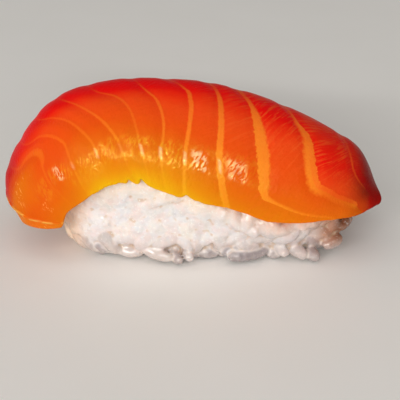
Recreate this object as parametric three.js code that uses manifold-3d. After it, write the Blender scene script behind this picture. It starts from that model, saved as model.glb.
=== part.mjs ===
// Salmon nigiri: a pressed bale of short-grain rice with one slice of salmon draped over it.
//
// Millimetres, +Z up. +X runs along the slice towards its pointed end, the tongue that hangs
// over the rice is at -X, the front is -Y, and the origin lies on the board, under the middle
// of the whole. Two solids: "rice", whose outer grains are fused to a core, and "salmon".

import * as THREE from "three";
import { mergeVertices } from "three/addons/utils/BufferGeometryUtils.js";
import { MeshSurfaceSampler } from "three/addons/math/MeshSurfaceSampler.js";
import Module from "manifold-3d";

const wasm = await Module();
wasm.setup();

// ---- Driving sizes, in millimetres ----------------------------------------------------------

// The slice. Three lines lie on its outer face and run from the hanging tongue to the pointed
// end: the crown along its top, and the two hems where it ends at the front and at the back.
const CROWN = [
  [-35.4, -0.5, 6.6],
  [-37.2, 0.0, 12.6],
  [-34.6, 0.0, 20.4],
  [-28.2, 0.0, 28.3],
  [-17.2, 0.0, 32.5],
  [-2.6, 0.0, 32.8],
  [12.6, 0.0, 29.3],
  [25.9, 0.3, 23.1],
  [32.0, 0.2, 18.6],
  [34.8, 0.0, 13.5],
];
const FRONT_HEM = [
  [-28.8, -9.5, 4.0],
  [-26.9, -11.0, 6.8],
  [-24.0, -12.6, 11.8],
  [-19.8, -13.7, 15.6],
  [-12.0, -14.3, 18.8],
  [-1.5, -14.7, 15.6],
  [12.6, -14.5, 10.9],
  [24.6, -13.6, 10.8],
  [30.8, -12.0, 11.4],
  [35.8, -8.8, 12.6],
];
const BACK_HEM = [
  [-29.2, 9.0, 5.0],
  [-28.4, 10.6, 10.0],
  [-25.5, 12.5, 13.8],
  [-19.8, 13.9, 15.6],
  [-11.5, 14.6, 16.0],
  [-0.5, 14.8, 15.0],
  [12.0, 14.4, 13.0],
  [22.5, 13.6, 11.8],
  [28.8, 12.1, 11.6],
  [33.6, 9.0, 12.6],
];
const SLICE_THICK = 6.4; // under the crown
const HEM_THICK = 1.9; // along the front and back edges
const END_THICK = 3.0; // at the tongue and at the pointed end
const THINNING = 2.4; // how late, going down from the crown, the slice thins to its hems
const END_SHARE = 0.22; // share of the length over which an end thins
const FLAT_FROM = 0.7; // share of the length from which the slice flattens out
const POINT_ARC = 42; // degrees of arc across the slice at its pointed end
const CUT_BULGE = 0.45; // how far the cut edges swell out
const CUT_ROUNDING = 0.3; // share of the thickness that rounds into a cut end, on each side
const TONGUE_CORNERS = { share: 0.155, sharpness: 3.2 }; // of the length, rounded off
const POINT_CORNERS = { share: 0.035, sharpness: 5 };
const SLICE_DETAIL = { stations: 38, strips: 12 };

// The rice.
const RICE_LENGTH = 54.4;
const RICE_MIDDLE = 1.5; // the bale's middle along X
const RICE_HALF_WIDTH = 11.1;
const RICE_BELLY = 9.5; // height of its widest level
const RICE_KEEL = 2.8; // how much of its round underside is pressed flat by the board
const END_BLUNTNESS = 3; // 2 would make the bale an ellipse from above, and more a block
const UPPER_SQUARENESS = 3.2; // the same for its cross-section, above the belly
const LOWER_SQUARENESS = 2.6; // and below it
const CORE_DETAIL = { stations: 26, around: 24 };
const GRAIN = { length: 6.0, width: 2.5, thick: 2.1 };
const GRAIN_PROFILE = [[0, -1], [0.6, -0.8], [1, -0.3], [1, 0.3], [0.6, 0.8], [0, 1]]; // radius, height
const GRAIN_SIDES = 5;
const GRAIN_VARIATION = 0.08; // share by which a grain may be larger or smaller
const GRAIN_LIFT = 0.2; // share of its random tilt out of the skin that a grain keeps
const GRAIN_SPACING = 2.65; // between the middles of neighbouring grains
const GRAIN_SUNK = 0.15; // how far a grain's middle lies under the core's skin
const GRAIN_TRIES = 6000;
const GRAIN_SEED = 11;
const TUCKED_IN = 1; // how far above the hems, behind the slice, there still are grains
const FOOT_GRAINS = [
  // middle of the grain, its length, and the way it points, in degrees from +X
  { at: [10.0, -10.2, 1.3], length: 8.2, heading: 8 },
  { at: [21.9, -10.6, 1.3], length: 5.8, heading: -12 },
  { at: [26.3, -8.2, 3.4], length: 6.0, heading: 35 },
  { at: [-5.6, -10.9, 1.2], length: 6.4, heading: -25 },
  { at: [-10.2, -10.6, 1.8], length: 6.0, heading: 20 },
];

const GAP = 0.3; // clear space between the rice and the slice
const OVERSHOOT = { above: 2, core: 0.8 }; // how far the cutter and the core reach past the cut
const FINEST = 0.04; // smaller facets than this, left by joining, are merged
const WELD = 1e-4; // points closer than this are one point

// ---- Small helpers --------------------------------------------------------------------------

const vec = (p) => new THREE.Vector3(...p);
const mix = THREE.MathUtils.lerp;
const railThrough = (points) => new THREE.CatmullRomCurve3(points.map(vec), false, "centripetal");

// A repeatable source of numbers from 0 to 1.
function seeded(seed) {
  let state = seed;
  return () => {
    state = (state + 0x6d2b79f5) | 0;
    let t = Math.imul(state ^ (state >>> 15), 1 | state);
    t = (t + Math.imul(t ^ (t >>> 7), 61 | t)) ^ t;
    return ((t ^ (t >>> 14)) >>> 0) / 4294967296;
  };
}

// A closed skin over rings of points, all of one count. The first and the last ring are closed by
// the faces given, or are a single point repeated.
function skinOver(rings, endFaces = []) {
  const count = rings[0].length;
  const positions = rings.flat().flatMap((p) => p.toArray());
  const faces = [...endFaces];
  for (let i = 0; i < rings.length - 1; i++) {
    for (let j = 0; j < count; j++) {
      const next = (j + 1) % count;
      const [a, b] = [i * count + j, i * count + next];
      const [c, d] = [a + count, b + count];
      faces.push([a, d, b], [a, c, d]);
    }
  }
  const geometry = new THREE.BufferGeometry();
  geometry.setAttribute("position", new THREE.Float32BufferAttribute(positions, 3));
  geometry.setIndex(faces.flat());
  return geometry;
}

// A closed geometry as a solid that can be joined and cut.
function solidFrom(geometry) {
  const bare = geometry.clone();
  bare.deleteAttribute("normal");
  bare.deleteAttribute("uv");
  const merged = mergeVertices(bare, WELD);
  const kept = [];
  for (let i = 0; i < merged.index.count; i += 3) {
    const [a, b, c] = [0, 1, 2].map((k) => merged.index.getX(i + k));
    if (a !== b && b !== c && a !== c) kept.push(a, b, c);
  }
  const mesh = new wasm.Mesh({
    numProp: 3,
    vertProperties: merged.attributes.position.array,
    triVerts: new Uint32Array(kept),
  });
  return new wasm.Manifold(mesh);
}

// A solid's surface as a geometry.
function geometryFrom(solid) {
  const mesh = solid.getMesh();
  const geometry = new THREE.BufferGeometry();
  geometry.setAttribute("position", new THREE.BufferAttribute(mesh.vertProperties, 3));
  geometry.setIndex(new THREE.BufferAttribute(mesh.triVerts, 1));
  geometry.computeVertexNormals();
  return geometry;
}

// ---- The slice ------------------------------------------------------------------------------

const crownRail = railThrough(CROWN);
const frontRail = railThrough(FRONT_HEM);
const backRail = railThrough(BACK_HEM);

// A point of the outer face: u runs from the tongue (0) to the pointed end (1), and q from the
// front hem (-1) over the crown (0) to the back hem (1). Across, it follows an arc of an ellipse:
// a full quarter where the slice hangs down the rice, and a flatter one at the pointed end.
function outerPoint(u, q) {
  const crown = crownRail.getPoint(u);
  const hem = (q < 0 ? frontRail : backRail).getPoint(u);
  const flattening = THREE.MathUtils.smoothstep(u, FLAT_FROM, 1);
  const arc = THREE.MathUtils.degToRad(mix(90, POINT_ARC, flattening));
  const turn = Math.abs(q) * arc;
  const reach = Math.sin(turn) / Math.sin(arc);
  const fall = (1 - Math.cos(turn)) / (1 - Math.cos(arc));
  return new THREE.Vector3(
    mix(crown.x, hem.x, fall),
    mix(crown.y, hem.y, reach),
    mix(crown.z, hem.z, fall),
  );
}

// The directions along the slice, across it and out of its outer face.
const STEP = 1e-3;
function lengthwise(u, q) {
  return outerPoint(Math.min(u + STEP, 1), q).sub(outerPoint(Math.max(u - STEP, 0), q)).normalize();
}
function crosswise(u, q) {
  return outerPoint(u, Math.min(q + STEP, 1)).sub(outerPoint(u, Math.max(q - STEP, -1))).normalize();
}
const outward = (u, q) => lengthwise(u, q).cross(crosswise(u, q)).normalize();

// The slice's thickness thins to its hems and to its two ends.
function thickness(u, q) {
  const towardsHem = Math.abs(q) ** THINNING;
  const middle = mix(SLICE_THICK, HEM_THICK, towardsHem);
  const fromEnd = Math.min(1, Math.min(u, 1 - u) / END_SHARE);
  const end = mix(END_THICK, HEM_THICK, towardsHem);
  return mix(end, middle, Math.sin((fromEnd * Math.PI) / 2));
}

// Where along the slice a lengthwise line at q starts and ends: the corners are rounded off.
const cornerAt = (corners, q) => corners.share * Math.abs(q) ** corners.sharpness;
const stationAt = (share, q) =>
  mix(cornerAt(TONGUE_CORNERS, q), 1 - cornerAt(POINT_CORNERS, q), share);

// The slice, with `lower` added under it, `raise` above it and `wider` at its edges. One more ring
// at each end, set in from both faces, makes the swollen cut edge.
function sliceGeometry({ lower = 0, raise = 0, wider = 0 } = {}) {
  const { stations, strips } = SLICE_DETAIL;
  const rings = [];
  for (let i = -1; i <= stations + 1; i++) {
    const share = THREE.MathUtils.clamp(i / stations, 0, 1);
    const isCutEdge = i < 0 || i > stations;
    const endwards = share === 0 ? -1 : share === 1 ? 1 : 0;
    const swell = endwards * (wider + (isCutEdge ? CUT_BULGE : 0));
    const [top, bottom] = [[], []];
    for (let j = 0; j <= strips; j++) {
      const q = (2 * j) / strips - 1;
      const u = stationAt(share, q);
      const thick = thickness(u, q);
      const inset = isCutEdge ? thick * CUT_ROUNDING : 0;
      const out = outward(u, q);
      const place = outerPoint(u, q).addScaledVector(lengthwise(u, q), swell);
      top.push(place.clone().addScaledVector(out, raise - inset));
      bottom.push(place.addScaledVector(out, inset - thick - lower));
    }
    const back = bulge(top.at(-1), bottom.at(-1), top.at(-2), wider);
    const front = bulge(top[0], bottom[0], top[1], wider);
    rings.push([...top, back, ...bottom.reverse(), front]);
  }
  return skinOver(rings, cutFaces(rings, strips));
}

// The swollen middle of a hem's cut edge, between the last points of the two faces.
function bulge(upper, lower, inner, wider) {
  const outwards = upper.clone().sub(inner).normalize();
  return upper.clone().lerp(lower, 0.5).addScaledVector(outwards, CUT_BULGE + wider);
}

// The triangles that close the first and the last ring of a slice.
function cutFaces(rings, strips) {
  const count = rings[0].length;
  const lastRing = (rings.length - 1) * count;
  const faces = [];
  const frontMiddle = count - 1;
  const backMiddle = strips + 1;
  const under = (j) => count - 2 - j;
  for (let j = 0; j < strips; j++) {
    faces.push([j, under(j + 1), under(j)], [j, j + 1, under(j + 1)]);
  }
  faces.push([frontMiddle, 0, under(0)], [backMiddle, under(strips), strips]);
  const atEnd = faces.map(([a, b, c]) => [lastRing + a, lastRing + c, lastRing + b]);
  return [...faces, ...atEnd];
}

// ---- The rice -------------------------------------------------------------------------------

// The slice's underside along its middle, from where it starts to lie on the rice.
const REST_FROM = 0.3;
const UNDERSIDE_STEPS = 80;
const undersideLine = Array.from({ length: UNDERSIDE_STEPS + 1 }, (_, i) => {
  const u = mix(REST_FROM, 1, i / UNDERSIDE_STEPS);
  return outerPoint(u, 0).addScaledVector(outward(u, 0), -thickness(u, 0));
});

// The height of that underside at x.
function undersideAt(x) {
  const after = undersideLine.findIndex((p) => p.x > x);
  if (after < 0) return undersideLine.at(-1).z;
  if (after === 0) return undersideLine[0].z;
  const [a, b] = [undersideLine[after - 1], undersideLine[after]];
  return mix(a.z, b.z, (x - a.x) / (b.x - a.x));
}

// A power that keeps the sign, for rounded squares.
const signedPower = (value, power) => Math.sign(value) * Math.abs(value) ** power;

// The core: a bale with blunt round ends. It reaches past the slice's underside and past the
// board, which cut it to shape.
function coreGeometry() {
  const { stations, around } = CORE_DETAIL;
  const rings = [];
  for (let i = 0; i <= stations; i++) {
    const along = -Math.cos((Math.PI * i) / stations);
    const x = RICE_MIDDLE + (RICE_LENGTH / 2) * along;
    const taper = Math.max(0, 1 - Math.abs(along) ** END_BLUNTNESS) ** (1 / END_BLUNTNESS);
    const above = (undersideAt(x) + OVERSHOOT.core - RICE_BELLY) * taper;
    const below = (RICE_BELLY + RICE_KEEL) * taper;
    const ring = [];
    for (let j = 0; j < around; j++) {
      const turn = (2 * Math.PI * j) / around;
      const [side, up] = [Math.sin(turn), Math.cos(turn)];
      const power = 2 / (up > 0 ? UPPER_SQUARENESS : LOWER_SQUARENESS);
      const y = RICE_HALF_WIDTH * taper * signedPower(side, power);
      const z = RICE_BELLY + (up > 0 ? above : below) * signedPower(up, power);
      ring.push(new THREE.Vector3(x, y, z));
    }
    rings.push(ring);
  }
  return skinOver(rings);
}

// One cooked grain, blunt at its ends, lying along its own Z and flattened along its own Y.
function grainGeometry(length, width, thick) {
  const profile = GRAIN_PROFILE.map((p) => new THREE.Vector2(...p));
  const grain = new THREE.LatheGeometry(profile, GRAIN_SIDES);
  return grain.rotateX(Math.PI / 2).scale(width / 2, thick / 2, length / 2);
}

// Turns and moves a grain so that it lies in a skin at `place`, pointing in a random direction.
function layGrain(grain, place, normal, random) {
  const heading = new THREE.Vector3(random() - 0.5, random() - 0.5, random() - 0.5);
  const lift = heading.dot(normal) * (1 - GRAIN_LIFT);
  const lying = heading.addScaledVector(normal, -lift).normalize();
  const side = new THREE.Vector3().crossVectors(lying, normal).normalize();
  const inwards = new THREE.Vector3().crossVectors(lying, side);
  const pose = new THREE.Matrix4().makeBasis(side, inwards, lying);
  pose.setPosition(place.clone().addScaledVector(normal, -GRAIN_SUNK));
  return grain.applyMatrix4(pose);
}

// Grains all over the part of the core that shows.
function skinGrains(core) {
  const random = seeded(GRAIN_SEED);
  const sampler = new MeshSurfaceSampler(new THREE.Mesh(core)).setRandomGenerator(random).build();
  const [place, normal] = [new THREE.Vector3(), new THREE.Vector3()];
  const [taken, grains] = [[], []];
  for (let tries = 0; tries < GRAIN_TRIES; tries++) {
    sampler.sample(place, normal);
    const isHidden = place.z > hemHeightAt(place) + TUCKED_IN || place.z < 0;
    const isCrowded = taken.some((p) => p.distanceTo(place) < GRAIN_SPACING);
    if (isHidden || isCrowded) continue;
    taken.push(place.clone());
    const size = mix(1 - GRAIN_VARIATION, 1 + GRAIN_VARIATION, random());
    const grain = grainGeometry(GRAIN.length * size, GRAIN.width * size, GRAIN.thick * size);
    grains.push(layGrain(grain, place, normal, random));
  }
  return grains;
}

// Grains that stand out at the foot, where the bale meets the board.
function footGrains() {
  return FOOT_GRAINS.map(({ at, length, heading }) =>
    grainGeometry(length, GRAIN.width, GRAIN.thick)
      .rotateY(Math.PI / 2)
      .rotateZ(THREE.MathUtils.degToRad(heading))
      .translate(...at),
  );
}

// The height of the nearer hem beside a point of the rice.
const HEM_STEPS = 60;
function hemHeightAt(place) {
  const rail = place.y < 0 ? frontRail : backRail;
  const hem = rail.getPoints(HEM_STEPS);
  const away = hem.map((p) => Math.hypot(p.x - place.x, p.y - place.y));
  return hem[away.indexOf(Math.min(...away))].z;
}

// The largest body of a solid, without the scraps that a cut can leave.
function largest(solid) {
  return solid.decompose().sort((a, b) => b.volume() - a.volume())[0];
}

// The core and its grains as one body, cut by the slice's underside and by the board.
function riceSolid() {
  const core = mergeVertices(coreGeometry(), WELD);
  core.computeVertexNormals();
  const pieces = [core, ...skinGrains(core), ...footGrains()].map(solidFrom);
  const slice = sliceGeometry({ lower: GAP, raise: OVERSHOOT.above, wider: GAP });
  const board = new THREE.BoxGeometry(200, 200, 20).translate(0, 0, -10);
  const cut = wasm.Manifold.union(pieces).subtract(solidFrom(slice)).subtract(solidFrom(board));
  return largest(cut.asOriginal().simplify(FINEST));
}

// ---- The whole ------------------------------------------------------------------------------

function named(name, geometry, colour, roughness) {
  const material = new THREE.MeshStandardMaterial({ color: colour, roughness, metalness: 0 });
  const mesh = new THREE.Mesh(geometry, material);
  mesh.name = name;
  return mesh;
}

const nigiri = new THREE.Group();
nigiri.add(named("rice", geometryFrom(riceSolid()), 0xefe6dc, 0.45));
nigiri.add(named("salmon", geometryFrom(solidFrom(sliceGeometry())), 0xe5602a, 0.3));

const middle = new THREE.Box3().setFromObject(nigiri).getCenter(new THREE.Vector3());
nigiri.position.set(-middle.x, -middle.y, 0);

export default nigiri;
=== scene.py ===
"""Salmon nigiri: a bale of sushi rice under one slice of salmon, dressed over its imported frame.

Sizes are named in millimetres and become metres as each mesh is made. +X runs along the slice
towards its pointed end, the tongue that hangs over the rice is at -X, and the front is -Y.
A place on the slice is (u, q): u from the tongue (0) to the pointed end (1), and q from the front
hem (-1) over the crown (0) to the back hem (1).
"""

import math

import bpy
import numpy as np
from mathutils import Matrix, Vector

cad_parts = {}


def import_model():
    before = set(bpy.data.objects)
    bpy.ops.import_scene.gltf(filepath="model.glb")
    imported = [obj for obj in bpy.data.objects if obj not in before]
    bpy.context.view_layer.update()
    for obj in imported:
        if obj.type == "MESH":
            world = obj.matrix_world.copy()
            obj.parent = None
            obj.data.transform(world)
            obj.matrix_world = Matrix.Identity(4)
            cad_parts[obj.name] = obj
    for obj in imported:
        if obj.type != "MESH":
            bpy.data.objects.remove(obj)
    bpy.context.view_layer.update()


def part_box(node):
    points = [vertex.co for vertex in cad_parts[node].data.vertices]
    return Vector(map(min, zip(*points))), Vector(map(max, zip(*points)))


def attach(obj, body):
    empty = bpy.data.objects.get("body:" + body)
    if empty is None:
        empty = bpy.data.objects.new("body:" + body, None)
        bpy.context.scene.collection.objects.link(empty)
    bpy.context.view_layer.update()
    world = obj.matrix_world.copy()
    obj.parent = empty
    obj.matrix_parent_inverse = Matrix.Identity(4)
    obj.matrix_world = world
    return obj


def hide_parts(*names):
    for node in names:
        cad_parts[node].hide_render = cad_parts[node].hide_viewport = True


MM = 0.001

# ---- The slice's form: the same driving sizes as the solid's ---------------------------------

CROWN = [
    (-34.8, -0.5, 6.3),
    (-37.2, 0.0, 12.6),
    (-34.3, 0.0, 20.3),
    (-28.2, 0.0, 28.3),
    (-17.2, 0.0, 32.5),
    (-2.6, 0.0, 32.8),
    (12.6, 0.0, 29.3),
    (25.9, 0.3, 22.8),
    (32.0, 0.2, 18.6),
    (34.8, 0.0, 13.5),
]
FRONT_HEM = [
    (-28.6, -9.6, 3.3),
    (-26.6, -11.0, 6.3),
    (-24.0, -12.6, 11.8),
    (-19.8, -13.7, 15.6),
    (-12.0, -14.3, 18.8),
    (-1.5, -14.7, 15.6),
    (12.6, -14.5, 10.9),
    (24.6, -13.6, 10.8),
    (30.8, -12.0, 11.4),
    (35.8, -8.8, 12.6),
]
BACK_HEM = [
    (-29.2, 9.0, 5.0),
    (-28.4, 10.6, 10.0),
    (-25.5, 12.5, 13.8),
    (-19.8, 13.9, 15.6),
    (-11.5, 14.6, 16.0),
    (-0.5, 14.8, 15.0),
    (12.0, 14.4, 13.0),
    (22.5, 13.6, 11.8),
    (28.8, 12.1, 11.6),
    (34.2, 9.0, 12.7),
]
SLICE_THICK = 6.4
HEM_THICK = 1.9
END_THICK = 3.0
THINNING = 2.4  # how late, going down from the crown, the slice thins to its hems
END_SHARE = 0.22  # share of the length over which an end thins
FLAT_FROM = 0.7  # share of the length from which the slice flattens out
POINT_ARC = 42  # degrees of arc across the slice at its pointed end
TONGUE_CORNERS = {"share": 0.15, "sharpness": 2.4}
POINT_CORNERS = {"share": 0.018, "sharpness": 5}
POINT_THINNING = 0.6  # of the slice at the point's front corner
POINT_THIN_FROM = {"u": 0.88, "q": -0.5}
CUT_BULGE = 0.45
CUT_SQUARENESS = 2.6  # 2 rounds the cut edge into a half circle, and more squares it

# ---- The slice's surface ---------------------------------------------------------------------

STATIONS = 470
STRIPS = 150
UNDER_EVERY = 5  # the underside has one strip for so many of the outer face
END_RINGS = 4
HEM_POINTS = 7

MUSCLE_RISE = 0.16  # how far a muscle stands above the sinews at its sides
MUSCLE_SHOULDER = 1.8  # over what distance from a sinew it rises
MUSCLE_SUNK = 0.6  # share of that rise by which the whole face is set in again
SWELL = 0.16  # slow unevenness of the outer face
FADE_AT_HEMS = 0.6  # share of this relief that is lost at the hems
FADE_AT_ENDS = 0.03  # share of the slice's length over which the relief fades at each end
HEM_WAVE = 0.3  # how far the hem wanders in and out
HEM_NICKS = 0.3  # and how far its small nicks reach, where the slice is thin
NICKED_FROM = (0.28, 0.38)  # where along the slice the nicks begin
LESS_NICKED_FROM = (0.55, 0.65)
# Where rice peeps up through nicks in the front hem: u, how wide and how deep the nick is.
HEM_NOTCHES = [
    (0.375, 6.0, 0.6), (0.417, 1.4, 0.3), (0.441, 1.0, 0.8), (0.468, 1.1, 1.1), (0.553, 1.3, 0.7),
    (0.632, 7.0, 1.0),
]
# The pale band round the tongue's cut edge, and the ridge that bounds it.
RIM = {
    "wide": 8.2,
    "wide_at_corners": 2.4,
    "narrowing": 1.4,  # how late, from its middle to its corners, the band narrows
    "waver": 0.25,
    "edge": (0.2, -0.3),  # over what distance from the ridge the band's colour begins
    "ridge_high": 0.32,
    "ridge_half": 0.3,
    "line_half": 0.4,  # half the width of the painted highlight line on the ridge
    "sunk": 0.45,  # share of the ridge's height by which the band is set in
    "sunk_over": 1.2,
}

# Each sinew runs from the back hem over the crown to the front: its places are (u, q, width,
# paleness). `soft` is how softly its left and right edges end. The muscle on its right, up to the
# next sinew, is `redder` than the slice by that share, and its fibres rise by `lean` degrees. A
# sinew that stops on the flesh has an imagined line from there to the front hem at u = `ends`.
SINEWS = [
    {
        "places": [
            (0.16, 0.95, 0.3, 0.2), (0.15, 0.5, 0.3, 0.2), (0.16, 0.0, 0.3, 0.2), (0.2, -0.32, 0.35, 0.3),
            (0.235, -0.35, 0.6, 0.4), (0.262, -0.38, 1.0, 0.45), (0.281, -0.44, 1.5, 0.5),
            (0.278, -0.52, 0.9, 0.4), (0.266, -0.59, 0.35, 0.35), (0.256, -0.72, 0.3, 0.25),
            (0.26, -1.0, 0.2, 0.0),
        ],
        "soft": (0.3, 0.3), "redder": 0.02, "lean": 8,
    },
    {
        "places": [
            (0.24, 1.0, 0.25, 0.2), (0.22, 0.6, 0.25, 0.2), (0.225, 0.15, 0.25, 0.2),
            (0.258, -0.24, 0.3, 0.35), (0.3, -0.32, 0.45, 0.4), (0.332, -0.42, 0.6, 0.45),
            (0.348, -0.52, 0.5, 0.45), (0.346, -0.63, 0.4, 0.4), (0.34, -0.8, 0.3, 0.35),
            (0.334, -1.0, 0.2, 0.15),
        ],
        "soft": (0.14, 0.25), "redder": 0.02, "lean": 10,
    },
    {
        "places": [
            (0.3, 1.0, 0.25, 0.2), (0.28, 0.6, 0.25, 0.2), (0.285, 0.2, 0.25, 0.2),
            (0.315, -0.15, 0.3, 0.45), (0.345, -0.24, 0.35, 0.45), (0.372, -0.35, 0.45, 0.4),
            (0.393, -0.51, 0.5, 0.45), (0.402, -0.63, 0.4, 0.4), (0.4, -0.77, 0.3, 0.3),
            (0.402, -1.0, 0.2, 0.15),
        ],
        "soft": (0.14, 0.2), "redder": 0.02, "lean": 12,
    },
    {
        "places": [
            (0.35, 1.0, 0.25, 0.2), (0.335, 0.6, 0.25, 0.2), (0.34, 0.25, 0.25, 0.2),
            (0.36, 0.0, 0.3, 0.5), (0.403, -0.26, 0.4, 0.5), (0.432, -0.44, 0.5, 0.55),
            (0.448, -0.6, 0.5, 0.55), (0.451, -0.71, 0.4, 0.45), (0.455, -1.0, 0.2, 0.1),
        ],
        "soft": (0.14, 0.16), "redder": 0.0, "lean": 14,
    },
    {
        "places": [
            (0.41, 1.0, 0.25, 0.2), (0.4, 0.6, 0.25, 0.2), (0.41, 0.2, 0.25, 0.2),
            (0.43, -0.08, 0.35, 0.45), (0.46, -0.2, 0.45, 0.45), (0.479, -0.35, 0.4, 0.35),
            (0.485, -0.55, 0.4, 0.35), (0.486, -0.73, 0.4, 0.35), (0.487, -1.0, 0.3, 0.15),
        ],
        "soft": (0.14, 0.2), "redder": 0.0, "lean": 16,
    },
    {
        "places": [
            (0.47, 1.0, 0.3, 0.2), (0.465, 0.6, 0.3, 0.2), (0.48, 0.2, 0.25, 0.3),
            (0.503, -0.12, 0.35, 0.5), (0.52, -0.26, 0.5, 0.6), (0.527, -0.43, 0.5, 0.55),
            (0.525, -0.56, 0.5, 0.55), (0.517, -0.7, 0.45, 0.45), (0.515, -1.0, 0.3, 0.2),
        ],
        "soft": (0.14, 0.16), "redder": 0.0, "lean": 18,
    },
    {
        "places": [
            (0.53, 1.0, 0.5, 0.4), (0.52, 0.6, 0.4, 0.4), (0.53, 0.2, 0.4, 0.5),
            (0.555, -0.05, 0.45, 0.6), (0.566, -0.16, 0.75, 0.7), (0.568, -0.3, 0.8, 0.7),
            (0.564, -0.48, 0.75, 0.7), (0.557, -0.66, 0.7, 0.7), (0.552, -0.85, 0.6, 0.6),
            (0.55, -1.0, 0.6, 0.45),
        ],
        "soft": (0.16, 0.2), "redder": -0.02, "lean": 34,
    },
    {
        "places": [
            (0.585, 1.0, 0.9, 0.6), (0.575, 0.6, 0.8, 0.6), (0.59, 0.2, 0.7, 0.6),
            (0.603, -0.02, 0.7, 0.7), (0.608, -0.2, 0.9, 0.8), (0.608, -0.42, 1.1, 0.8),
            (0.605, -0.6, 1.25, 0.85), (0.605, -0.74, 1.3, 0.85), (0.609, -0.88, 1.3, 0.7),
            (0.613, -1.0, 1.2, 0.5),
        ],
        "soft": (0.16, 0.22), "redder": 0.0, "lean": 46,
    },
    {
        "places": [
            (0.64, 1.0, 1.6, 0.8), (0.625, 0.6, 1.4, 0.8), (0.632, 0.2, 1.2, 0.8),
            (0.65, -0.1, 0.9, 0.85), (0.656, -0.22, 1.6, 0.95), (0.662, -0.4, 2.1, 1.0),
            (0.666, -0.56, 2.4, 1.0), (0.667, -0.7, 2.1, 0.9), (0.667, -0.81, 1.6, 0.8),
            (0.677, -0.85, 0.8, 0.7), (0.7, -0.885, 0.5, 0.6), (0.735, -0.94, 0.4, 0.5),
            (0.8, -1.0, 0.3, 0.2),
        ],
        "soft": (0.12, 0.35), "redder": 0.03, "lean": 58,
    },
    {
        "places": [
            (0.71, 1.0, 1.4, 0.8), (0.695, 0.6, 1.2, 0.8), (0.7, 0.2, 0.8, 0.8),
            (0.713, -0.04, 0.6, 0.8), (0.72, -0.16, 1.0, 0.9), (0.732, -0.28, 1.8, 0.95),
            (0.737, -0.42, 2.2, 1.0), (0.741, -0.58, 2.3, 0.95), (0.748, -0.69, 2.2, 0.8),
            (0.77, -0.745, 1.8, 0.34), (0.8, -0.8, 1.6, 0.2), (0.84, -0.85, 1.5, 0.2),
            (0.868, -0.885, 1.1, 0.4),
        ],
        "soft": (0.5, 0.13), "redder": 0.21, "lean": 38, "ends": 0.9,
    },
    {
        "places": [
            (0.835, 1.0, 0.5, 0.3), (0.82, 0.6, 0.5, 0.3), (0.822, 0.1, 0.4, 0.3),
            (0.838, -0.18, 0.4, 0.2), (0.846, -0.34, 0.45, 0.3), (0.855, -0.47, 0.45, 0.3),
            (0.876, -0.58, 0.35, 0.25), (0.91, -0.68, 0.3, 0.1),
        ],
        "soft": (0.2, 0.2), "redder": 0.6, "lean": 14, "ends": 1.0,
    },
]
FIRST_MUSCLE = {"redder": 0.05, "lean": 6}  # left of the first sinew
CRINKLE_LEAN = 62  # the way that the fine wet crinkles rise, in degrees

# ---- The rice's form, as the solid's ---------------------------------------------------------

RICE_LENGTH = 54.4
RICE_MIDDLE = 1.5
RICE_HALF_WIDTH = 11.1
RICE_BELLY = 9.5
FRONT_BULGE = 1.5  # how far the rice is squeezed out below the slice's front hem
BACK_BULGE = 0.8
BULGE_BELOW = 1.7  # how far below the hem that swelling is widest
BULGE_REACH = 2.6
RICE_KEEL = 2.8
END_BLUNTNESS = 3
UPPER_SQUARENESS = 3.2
LOWER_SQUARENESS = 2.6
OVER_CUT = 0.8  # how far the bale's own form reaches above the slice's underside
REST_FROM = 0.3  # share of the slice's length from which it lies on the rice

# ---- The grains ------------------------------------------------------------------------------

GRAIN = {
    "length": 6.0,
    "width": 2.85,
    "thick": 2.5,
    "taper": 0.09,
    "ripple": (0.035, 0.04),
    "bend": 0.3,
    "arch": 0.22,
    "notch_deep": 0.22,
    "notch_at": 0.82,  # along the grain, from -1 to 1
}
GRAIN_RINGS = 11
GRAIN_SIDES = 14
GRAIN_BLUNTNESS = 2.5
GRAIN_SEED = 7
SKIN_SAMPLES = 9000
LAYERS = [
    # how far the grains' middles lie below the bale's skin, and the spacing between them
    {"deeper": 0.0, "spacing": 2.5},
    {"deeper": 1.4, "spacing": 2.8},
]
LOOSE_DEPTH = 0.15  # of the outer layer where the rice is loose
MASHED_DEPTH = 0.75  # and where it is pressed into a smooth mass
DEPTH_PLAY = (-0.35, 0.3)
STANDING = 0.15  # share of the grains that stick out of the skin rather than lie in it
LEVELLED = {"standing": 0.3, "lying": 0.9}  # how much of its rise out of the skin a grain loses
TUCKED_IN = 4.0  # how far above the hems, behind the slice, there still are grains
MASHED_ABOVE = (2.6, 6.4)  # over what heights the rice turns from loose to mashed
LOOSER_RIGHT = {"from": 0, "to": 13, "share": 0.7}  # and how much of that is lost towards the point
SETTLE_ROUNDS = 70
SQUASH = 0.3  # share of their thickness by which neighbouring grains press into each other
PROUD = 0.45  # how far a grain's middle line may rise above the skin
EASE = {"apart": 0.5, "down": 0.7, "depth": 0.12}  # share of each correction that a round makes
SLICE_GAP = 0.12
FOOT_CLEAR = 1.7  # how near a scattered grain may come to the named ones
CORE_DEPTH = 0.3
CORE_LOWEST = 0.35
CORE_GRID = (59, 72)
CORE_UNEVEN = 0.25
STICKING = 0.285  # the finest gap between stuck grains
SOFTENING = 1
MASHING = 4  # further rounds of softening where the grains are pressed
FLATTENING = 60  # rounds of softening that give the form which the grains are pressed into
PRESSED = (0.0, 0.78)  # how much of the grains' relief it takes away, where loose and pressed
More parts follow.
